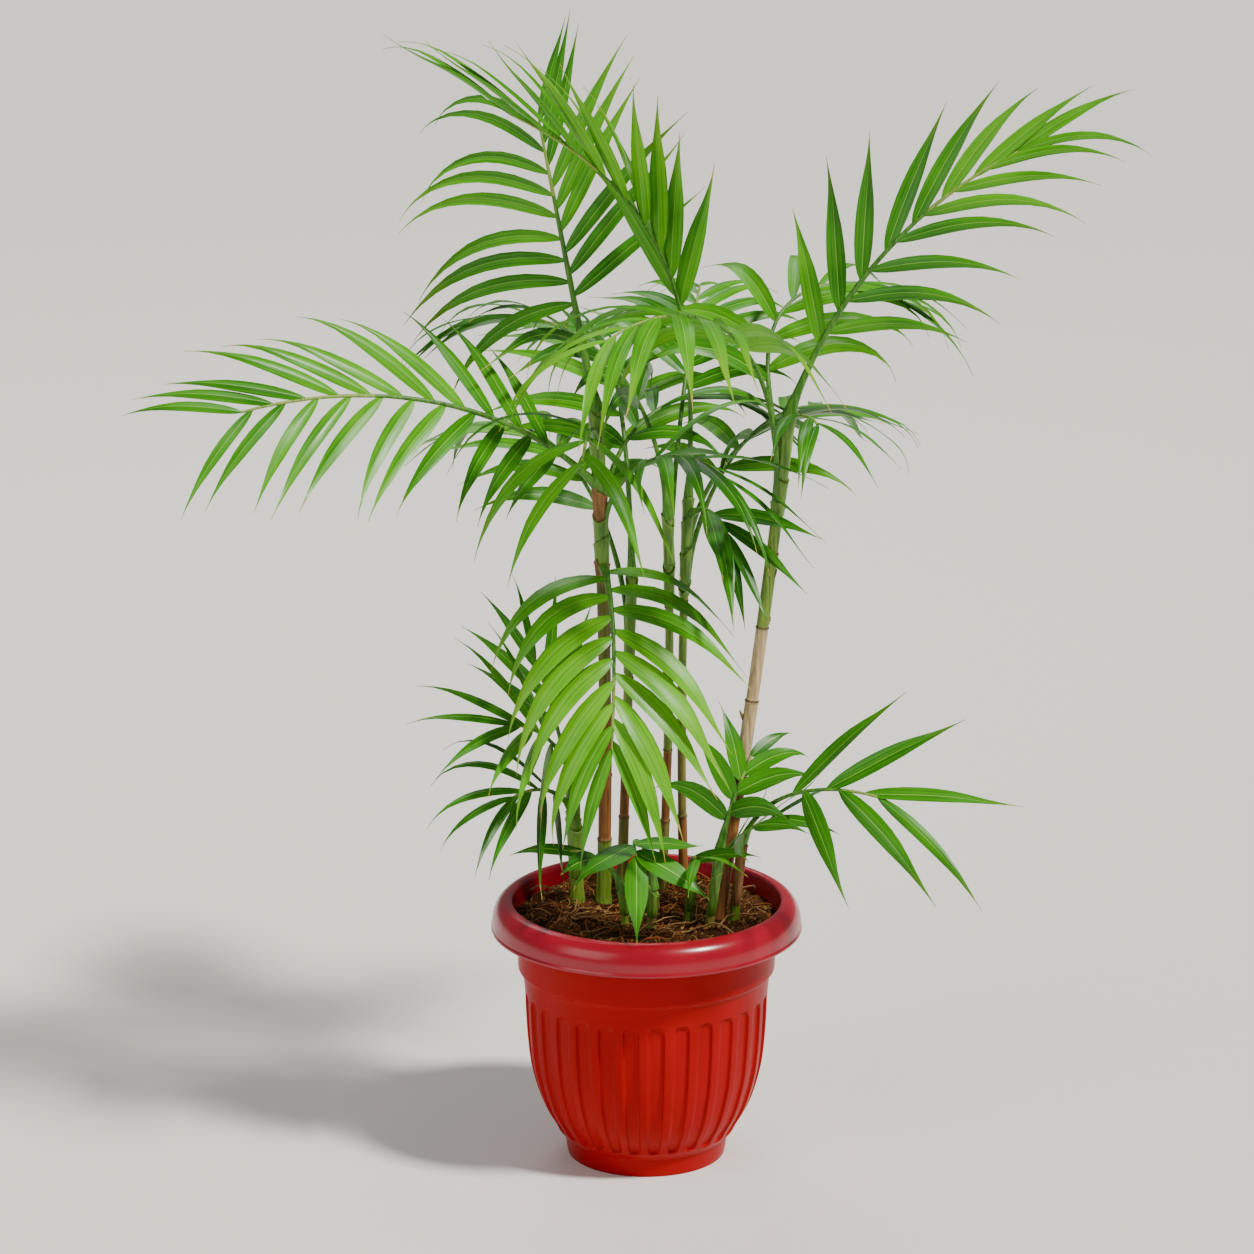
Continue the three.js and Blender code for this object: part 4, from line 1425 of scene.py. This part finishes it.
@dataclass
class Planter:
    """The fluted plastic planter with its rolled rim. Its tables hold radius and height in millimetres."""

    bevel: float = 1.3 * MM
    depth: float = 2.6 * MM
    # Columns of the wall over one flute, in degrees from its middle; they crowd where it bends
    columns: tuple[float, ...] = (-6, -5, -4.02, -3.85, -3.6, -3.35, -2, 0, 2, 3.35, 3.6, 3.85, 4.02, 5)
    flute_low: float = 27 * MM
    flute_high: float = 168.5 * MM
    foot: tuple[Pair, ...] = (
        (70, 1.6), (71.5, 1.4), (72.5, 0.3), (73.2, 0), (76, 0), (76.8, 0.3), (77.1, 1.2), (78.4, 9),
        (79.8, 18), (80.2, 19.4), (81.2, 20.6), (83, 22.4), (84.6, 24), (86, 25.8),
    )
    # The points that the fluted wall runs through, and the heights of its rows
    body: tuple[Pair, ...] = (
        (87, 27), (91, 35), (98.6, 48), (104.5, 62), (109.6, 79), (113.5, 97), (116, 120), (117.5, 145),
        (118.4, 168.5), (119.6, 180), (120.9, 188),
    )
    rows: tuple[float, ...] = (
        27, 27.8, 28.6, 29.6, 30.8, 32.2, 34, 36, 38.5, 41.5, 45, 49, 54, 60, 67, 75, 84, 94, 105, 117, 129,
        140, 149, 155, 158, 159.5, 161, 162.2, 163.3, 164.3, 165.2, 166, 166.8, 167.5, 168.2, 169, 171, 175,
        180, 185,
    )
    collar: tuple[Pair, ...] = (
        (121, 188), (121.4, 189), (122.6, 190.2), (124, 190.8), (124.7, 191.4), (124.9, 193), (125, 200),
        (125.9, 210), (126.8, 221), (127.3, 228), (127.9, 230), (129.5, 231.2), (134, 231.8), (141, 231.9),
        (146.6, 231.4), (147.8, 230.5), (148.9, 230.1), (150, 230.2), (150.8, 230.9), (151, 232),
        (150.8, 233), (150.1, 233.8), (149.8, 234.8),
    )
    inner: tuple[Pair, ...] = (
        (131.8, 259.7), (130.6, 258.9), (129.8, 257.6), (129.2, 255), (128.3, 251), (126.8, 246),
        (124.5, 236), (121, 205), (114.8, 165), (112, 130), (107, 95), (99, 66), (87, 36), (75, 8), (74, 5),
        (60, 4),
    )
    # The rolled rim: how far in its crest lies, where it springs from and where its colour starts
    roll: float = 17 * MM
    roll_low: float = 234 * MM
    roll_steps: int = 14
    roll_fullness: float = 0.8
    rim_low: float = 229 * MM

    def wall_radius(self, z: float) -> float:
        """The outer wall's radius between the flutes' foot and the collar, on a smooth line.

        Args:
            z: The height in millimetres.

        Returns:
            The radius in metres.
        """
        radii, heights = zip(*self.body)
        i = min(max(int(np.searchsorted(heights, z)) - 1, 0), len(heights) - 2)
        before, after = max(i - 1, 0), min(i + 2, len(heights) - 1)
        span = heights[i + 1] - heights[i]
        t = (z - heights[i]) / span
        slope = (radii[i + 1] - radii[before]) / (heights[i + 1] - heights[before]) * span
        next_slope = (radii[after] - radii[i]) / (heights[after] - heights[i]) * span
        start, end = (2 * t**3 - 3 * t**2 + 1) * radii[i], (3 * t**2 - 2 * t**3) * radii[i + 1]
        return MM * (start + (t**3 - 2 * t**2 + t) * slope + end + (t**3 - t**2) * next_slope)

    def recess(self, turn: float, radius: float, z: float) -> float:
        """How deep a flute is at a place on the wall.

        Args:
            turn: Degrees from the flute's middle.
            radius: The wall's radius there.
            z: The height.

        Returns:
            The depth in metres.
        """
        half = math.radians(FLUTE_HALF) * radius
        over = max(z - (self.flute_high - half), (self.flute_low + half) - z, 0.0)
        inside = half - math.hypot(math.radians(turn) * radius, over)
        return self.depth * smooth(inside / self.bevel)

    def profile(self) -> list[tuple[float, float, bool]]:
        """The whole section, from the middle of the foot over the rim to the floor inside.

        Returns:
            Radius, height and whether the flutes are cut there, in metres.
        """
        crest = RIM_R - self.roll
        turns = [math.radians(90 * i / self.roll_steps) for i in range(1, self.roll_steps + 1)]
        made = [(r * MM, z * MM, False) for r, z in self.foot]
        made += [(self.wall_radius(z), z * MM, True) for z in self.rows]
        made += [(r * MM, z * MM, False) for r, z in self.collar]
        for a in turns:
            z = self.roll_low + (RIM_TOP - self.roll_low) * math.sin(a) ** self.roll_fullness
            made.append((crest + (RIM_R - crest) * math.cos(a), z, False))
        return made + [(r * MM, z * MM, False) for r, z in self.inner]

    def build(self) -> None:
        """Builds the planter as one closed mesh."""
        pitch = 360 / FLUTES
        places = [(-90 + FLUTE_TURN + i * pitch, turn) for i in range(FLUTES) for turn in self.columns]
        count, profile = len(places), self.profile()
        corners: list[tuple[float, float, float]] = []
        for radius, z, fluted in profile:
            for middle, turn in places:
                r = radius - (self.recess(turn, radius, z) if fluted else 0)
                a = math.radians(middle + turn)
                corners.append((r * math.cos(a), r * math.sin(a), z))
        first = len(corners)
        faces = [face for low in range(0, first - count, count) for face in band(low, count)]
        corners += [(0, 0, profile[0][1]), (0, 0, profile[-1][1])]
        faces += [(first, (k + 1) % count, k) for k in range(count)]
        last = first - count
        faces += [(first + 1, last + k, last + (k + 1) % count) for k in range(count)]
        piece = solid("planter", corners, faces, Skin.PLASTIC, Skin.PLASTIC_RIM)
        made = piece.data
        heights = [max(made.vertices[v].co.z for v in p.vertices) for p in made.polygons]
        made.polygons.foreach_set("material_index", [int(h > self.rim_low) for h in heights])
        hand_in(piece, "pot", "pot")


# Soil

# The draws that a chip's lean, size and tone come from
LEAN_DRAW, SIZE_DRAW, TONE_DRAW = 3, 5, 8


@dataclass
class Soil:
    """The potting mix, with the bark and rootlets that lie on it."""

    rings: int = 56
    columns: int = 132
    outer: float = 125.6 * MM
    seed: int = 11
    # The rise from the wall: where it starts, how wide it is and how far it lifts the middle
    rise_from: float = 124 * MM
    rise_width: float = 22 * MM
    rise: float = 1 * MM
    # Clods and crumbs: how many in a metre, how high and their level in the noise; the clods' fineness,
    # step and number of layers; and the most that both stand up
    clods: Colour = (62, 4.0 * MM, 0.3)
    crumbs: Colour = (230, 1.4 * MM, 0.7)
    layers: tuple[float, float, int] = (1.0, 2.0, 4)
    lump: float = 4.5 * MM
    # The body below the surface: radius and height, in millimetres, and its floor
    below: tuple[Pair, ...] = ((124.9, 240), (121.5, 215), (114, 165), (111.2, 130), (98.6, 66), (72.4, 6))
    floor: float = 5 * MM
    chip_kinds: int = 5
    chip_corners: int = 12
    chip_seed: int = 300
    # A chip's half length, width and height, as shares, how much it narrows and the most that it leans
    chip_halves: Colour = (0.5, 0.3, 0.2)
    chip_narrowing: float = 0.4
    chip_lean: float = 0.5
    chip_spacing: float = 2.3 * MM
    chip_density: float = 160000.0
    chip_longest: float = 13 * MM
    chip_shortest: float = 0.25
    # How steeply long and pale chips grow rarer
    rarity: float = 2.2
    rootlets: int = 200
    roots: int = 22
    reach: float = 118 * MM
    strand_steps: int = 10
    strand_sides: int = 5
    taper: float = 0.6
    sunk: float = 0.3 * MM
    # The length, radius and rise of a rootlet and of a root, from least to most, in millimetres; a
    # rootlet's radius has its usual value last
    lengths: tuple[Pair, Pair] = ((14, 52), (45, 80))
    rootlet_r: Colour = (0.3, 1.1, 0.5)
    root_r: Pair = (0.9, 1.4)
    arches: tuple[Pair, Pair] = ((0.8, 5), (5, 12))
    # The most that it curls in radians, how many of them are red, and how far out it may come
    curl: float = 2.6
    red_share: float = 0.35
    strand_edge: float = 123 * MM

    def height(self, x: float, y: float) -> float:
        """The height of the surface, with its clods and its rise towards the middle.

        Args:
            x: The place to the right.
            y: The place to the back.

        Returns:
            The height.
        """
        r = math.hypot(x, y)
        mound = mix(SOIL_EDGE, SOIL_TOP + self.rise, smooth((self.rise_from - r) / self.rise_width))
        many, high, level = self.clods
        clods = noise.fractal(Vector((x, y, level)) * many, *self.layers) * high
        many, high, level = self.crumbs
        return mound + min(clods + noise.noise(Vector((x, y, level)) * many) * high, self.lump)

    def surface(self) -> tuple[list[tuple], list[tuple]]:
        """The top of the mix.

        Returns:
            Its corners, ring by ring from the middle, and its faces.
        """
        plans = [p for j in range(1, self.rings + 1) for p in ring(self.outer * j / self.rings, self.columns)]
        corners = [(x, y, self.height(x, y)) for x, y in [(0.0, 0.0), *plans]]
        faces = [(0, 1 + k, 1 + (k + 1) % self.columns) for k in range(self.columns)]
        return corners, faces + self.skirt(1, self.rings - 1)

    def skirt(self, low: int, rows: int) -> list[tuple]:
        """The faces of rows of rings that widen or fall, from the number of their first corner."""
        bands = (face for j in range(rows) for face in band(low + j * self.columns, self.columns))
        return [(a, d, c, b) for a, b, c, d in bands]

    def bed(self) -> bpy.types.Object:
        """The whole mix: its surface, closed underneath down to the planter's floor.

        Returns:
            The piece.
        """
        corners, faces = self.surface()
        rim = len(corners) - self.columns
        corners += [(x, y, z * MM) for r, z in self.below for x, y in ring(r * MM, self.columns)]
        faces += self.skirt(rim, len(self.below))
        corners.append((0, 0, self.floor))
        last = len(corners) - 1 - self.columns
        faces += [(last + (k + 1) % self.columns, last + k, len(corners) - 1) for k in range(self.columns)]
        return solid("soil_bed", corners, faces, Skin.EARTH)

    def chip(self, number: int) -> bpy.types.Object:
        """One angular piece of bark, about 1 unit long, to be strewn.

        Args:
            number: Which kind it is.

        Returns:
            The chip, not in the scene yet.
        """
        made = bmesh.new()
        long, wide, high = self.chip_halves
        for i in range(self.chip_corners):
            x, y, z = (wobble(number + self.chip_seed, 3 * i + k) for k in range(3))
            made.verts.new((long * x, wide * y * (1 - self.chip_narrowing * abs(x)), high * z))
        hull = bmesh.ops.convex_hull(made, input=made.verts)
        bmesh.ops.delete(made, geom=hull["geom_interior"], context="VERTS")
        mesh = bpy.data.meshes.new(f"chip_{number}")
        bmesh.ops.recalc_face_normals(made, faces=made.faces)
        made.to_mesh(mesh)
        made.free()
        return bpy.data.objects.new(f"chip_{number}", mesh)

    def strewing(self, tones: int) -> GeometryTree:
        """The tree that strews chips over a surface and joins them.

        Args:
            tones: How many materials it deals to them.

        Returns:
            The tree, whose inputs are Kinds, Spacing, Longest, Seed and each Tone.
        """
        tree = GeometryTree("strewn_bark")
        kinds, spacing = tree.size("Kinds", "Collection"), tree.size("Spacing", "Float")
        longest, seed = tree.size("Longest", "Float"), tree.size("Seed", "Int")
        inputs = {"Mesh": tree.geometry, "Distance Min": spacing, "Seed": seed}
        inputs |= {"Density Max": self.chip_density}
        strewn = tree.add("GeometryNodeDistributePointsOnFaces", inputs, distribute_method="POISSON").outputs
        pick = {"Collection": kinds, "Separate Children": True, "Reset Children": True}
        most = (self.chip_lean, self.chip_lean, math.pi)
        inputs = {"Min": tuple(-turn for turn in most), "Max": most, "Seed": LEAN_DRAW}
        lean = tree.add("FunctionNodeRandomValue", inputs, data_type="FLOAT_VECTOR").outputs["Value"]
        inputs = {"Rotation": strewn["Rotation"], "Rotate By": lean}
        spin = tree.add("FunctionNodeRotateRotation", inputs, rotation_space="LOCAL").outputs[0]
        size = tree.number("POWER", tree.draw(SIZE_DRAW), self.rarity)
        size = tree.number("MULTIPLY", size, 1 - self.chip_shortest)
        size = tree.number("MULTIPLY", tree.number("ADD", size, self.chip_shortest), longest)
        inputs = {"Points": strewn["Points"], "Instance": tree.change("CollectionInfo", pick)}
        inputs |= {"Pick Instance": True, "Rotation": spin, "Scale": size}
        laid = tree.change("InstanceOnPoints", inputs)
        # Rounded down, this stays below the number of tones
        tone = tree.number("POWER", tree.draw(TONE_DRAW), self.rarity)
        tone = tree.number("MULTIPLY", tone, tones - 0.01)
        toned = tree.store(laid, "tone", tree.number("FLOOR", tone), "FLOAT", "INSTANCE")
        dealt = tree.deal(tree.change("RealizeInstances", {0: toned}), tree.named("tone"), tones)
        tree.connect(tree.sink.inputs["Geometry"], dealt)
        return tree

    def chips(self) -> bpy.types.Object:
        """Bark and fibre crumbs, strewn over the surface.

        Returns:
            The piece.
        """
        held = bpy.data.collections.new("chip_kinds")
        bpy.context.scene.collection.children.link(held)
        for number in range(self.chip_kinds):
            held.objects.link(self.chip(number))
        corners, faces = self.surface()
        ground = bpy.data.meshes.new("surface")
        ground.from_pydata(corners, [], faces)
        skins = Skin.BARK_DARK, Skin.BARK_RED, Skin.BARK_TAN
        values = {f"Tone {i}": finish(skin) for i, skin in enumerate(skins)}
        values |= {"Kinds": held, "Spacing": self.chip_spacing, "Longest": self.chip_longest}
        values["Seed"] = self.seed
        piece = self.strewing(len(skins)).run(ground, "soil_bark", values)
        for spent in list(held.objects):
            bpy.data.objects.remove(spent)
        bpy.data.collections.remove(held)
        return piece

    def strand(self, stout: bool, draw: random.Random) -> list[Station]:
        """The stations of one root or rootlet that lies over the surface in a loose arc.

        Args:
            stout: Whether it is one of the longer, thicker roots.
            draw: Where its random numbers come from.

        Returns:
            The stations in order.
        """
        r = self.reach * math.sqrt(draw.random())
        a = draw.uniform(-math.pi, math.pi)
        x, y = r * math.cos(a), r * math.sin(a)
        bearing = draw.uniform(-math.pi, math.pi)
        length = draw.uniform(*self.lengths[stout]) * MM
        curl = draw.uniform(-self.curl, self.curl)
        radius = (draw.uniform(*self.root_r) if stout else draw.triangular(*self.rootlet_r)) * MM
        arch = draw.uniform(*self.arches[stout]) * MM
        tone = float(draw.random() < self.red_share)
        made = []
        for i in range(self.strand_steps + 1):
            s = i / self.strand_steps
            flat = level_way(bearing + curl * s)
            inside = min(1.0, self.strand_edge / max(math.hypot(x, y), 1e-6))
            x, y = x * inside, y * inside
            point = Vector((x, y, self.height(x, y) + arch * math.sin(math.pi * s) - self.sunk))
            thin = radius * (1 - self.taper * s)
            made.append(Station(point, UP.cross(flat), UP, thin, thin, s * length, tone))
            x, y = x + flat.x * length / self.strand_steps, y + flat.y * length / self.strand_steps
        return made

    def strands(self) -> bpy.types.Object:
        """The rootlets, and then the roots.

        Returns:
            The piece.
        """
        draw = random.Random(self.seed)
        lines = [self.strand(i >= self.rootlets, draw) for i in range(self.rootlets + self.roots)]
        disc = round_section("rootlet_section", self.strand_sides)
        skins = Skin.ROOTLET, Skin.BARK_RED, Skin.ROOTLET
        piece = sweep("soil_rootlets", disc, lines, *skins)
        bpy.data.objects.remove(disc)
        return piece

    def build(self) -> None:
        """Builds the mix, its bark and its rootlets."""
        hand_in(self.bed(), "soil", "soil")
        hand_in(self.chips(), "soil")
        hand_in(self.strands(), "soil")


# Studio


@dataclass
class Studio:
    """The floor, the soft lights and the camera at the photograph's angle."""

    lens: float = 150.0
    sensor: float = 36.0
    pitch: float = 16.0
    far: float = 200.0
    place: tuple[float, float, float] = (-0.0189, -4.7967, 1.908)
    floor_half: float = 30.0
    # Each softbox: place, power in watts and width
    softboxes: tuple[tuple[tuple[float, float, float], float, float], ...] = (
        ((-2.6, -2.4, 2.2), 40.0, 2.4),
        ((-0.6, 2.6, 3.2), 30.0, 1.8),
    )
    # The key light: where it stands, its strength and how wide it looks, in degrees
    key_place: tuple[float, float, float] = (2.2, -1.3, 4.0)
    key_strength: float = 4.8
    key_width: float = 8.0
    key_colour: Colour = (1.0, 0.96, 0.88)
    aim: tuple[float, float, float] = (0, 0, 0.55)
    surround: Colour = (1.0, 0.98, 0.95)
    surround_strength: float = 0.22

    def floor(self) -> None:
        """Lays the pale floor."""
        h = self.floor_half
        corners = [(-h, -h, 0), (h, -h, 0), (h, h, 0), (-h, h, 0)]
        solid("studio_floor", corners, [(0, 1, 2, 3)], Skin.FLOOR)

    def lamp(self, name: str, kind: str, place: tuple[float, float, float], power: float) -> bpy.types.Light:
        """Hangs a light that points at the plant.

        Args:
            name: The light's name.
            kind: AREA or SUN.
            place: Where it hangs.
            power: Its power or strength.

        Returns:
            The light.
        """
        made = bpy.data.lights.new(name, kind)
        made.energy = power
        holder = linked(name, made)
        holder.location = place
        holder.rotation_euler = (Vector(self.aim) - Vector(place)).to_track_quat("-Z", "Y").to_euler()
        return made

    def lights(self) -> None:
        """Hangs the softboxes and the key light, and sets a pale, even surround."""
        for i, (place, power, width) in enumerate(self.softboxes):
            box = self.lamp(f"softbox_{i}", "AREA", place, power)
            box.shape = "SQUARE"
            box.size = width
        key = self.lamp("key", "SUN", self.key_place, self.key_strength)
        key.color = self.key_colour
        key.angle = math.radians(self.key_width)
        world = bpy.data.worlds.new("pale_surround")
        world.use_nodes = True
        sky = world.node_tree.nodes["Background"].inputs
        sky["Color"].default_value = (*self.surround, 1.0)
        sky["Strength"].default_value = self.surround_strength
        bpy.context.scene.world = world

    def camera(self) -> None:
        """Puts the camera where the photograph was taken from."""
        made = bpy.data.cameras.new("view")
        made.lens = self.lens
        made.sensor_width = self.sensor
        made.clip_end = self.far
        holder = linked("view", made)
        holder.location = self.place
        holder.rotation_euler = (math.radians(90 - self.pitch), 0, 0)
        bpy.context.scene.camera = holder

    def build(self) -> None:
        """Sets up the whole studio."""
        self.floor()
        self.lights()
        self.camera()


def main() -> None:
    """Builds the studio and every sub-assembly in order."""
    logging.basicConfig(level=logging.INFO, format="%(name)s: %(message)s")
    canes = {cane.name: cane for cane in CANES}
    Studio().build()
    Planter().build()
    Soil().build()
    Clump(canes).build()
    Foliage(canes).build()


if __name__ == "__main__":
    main()
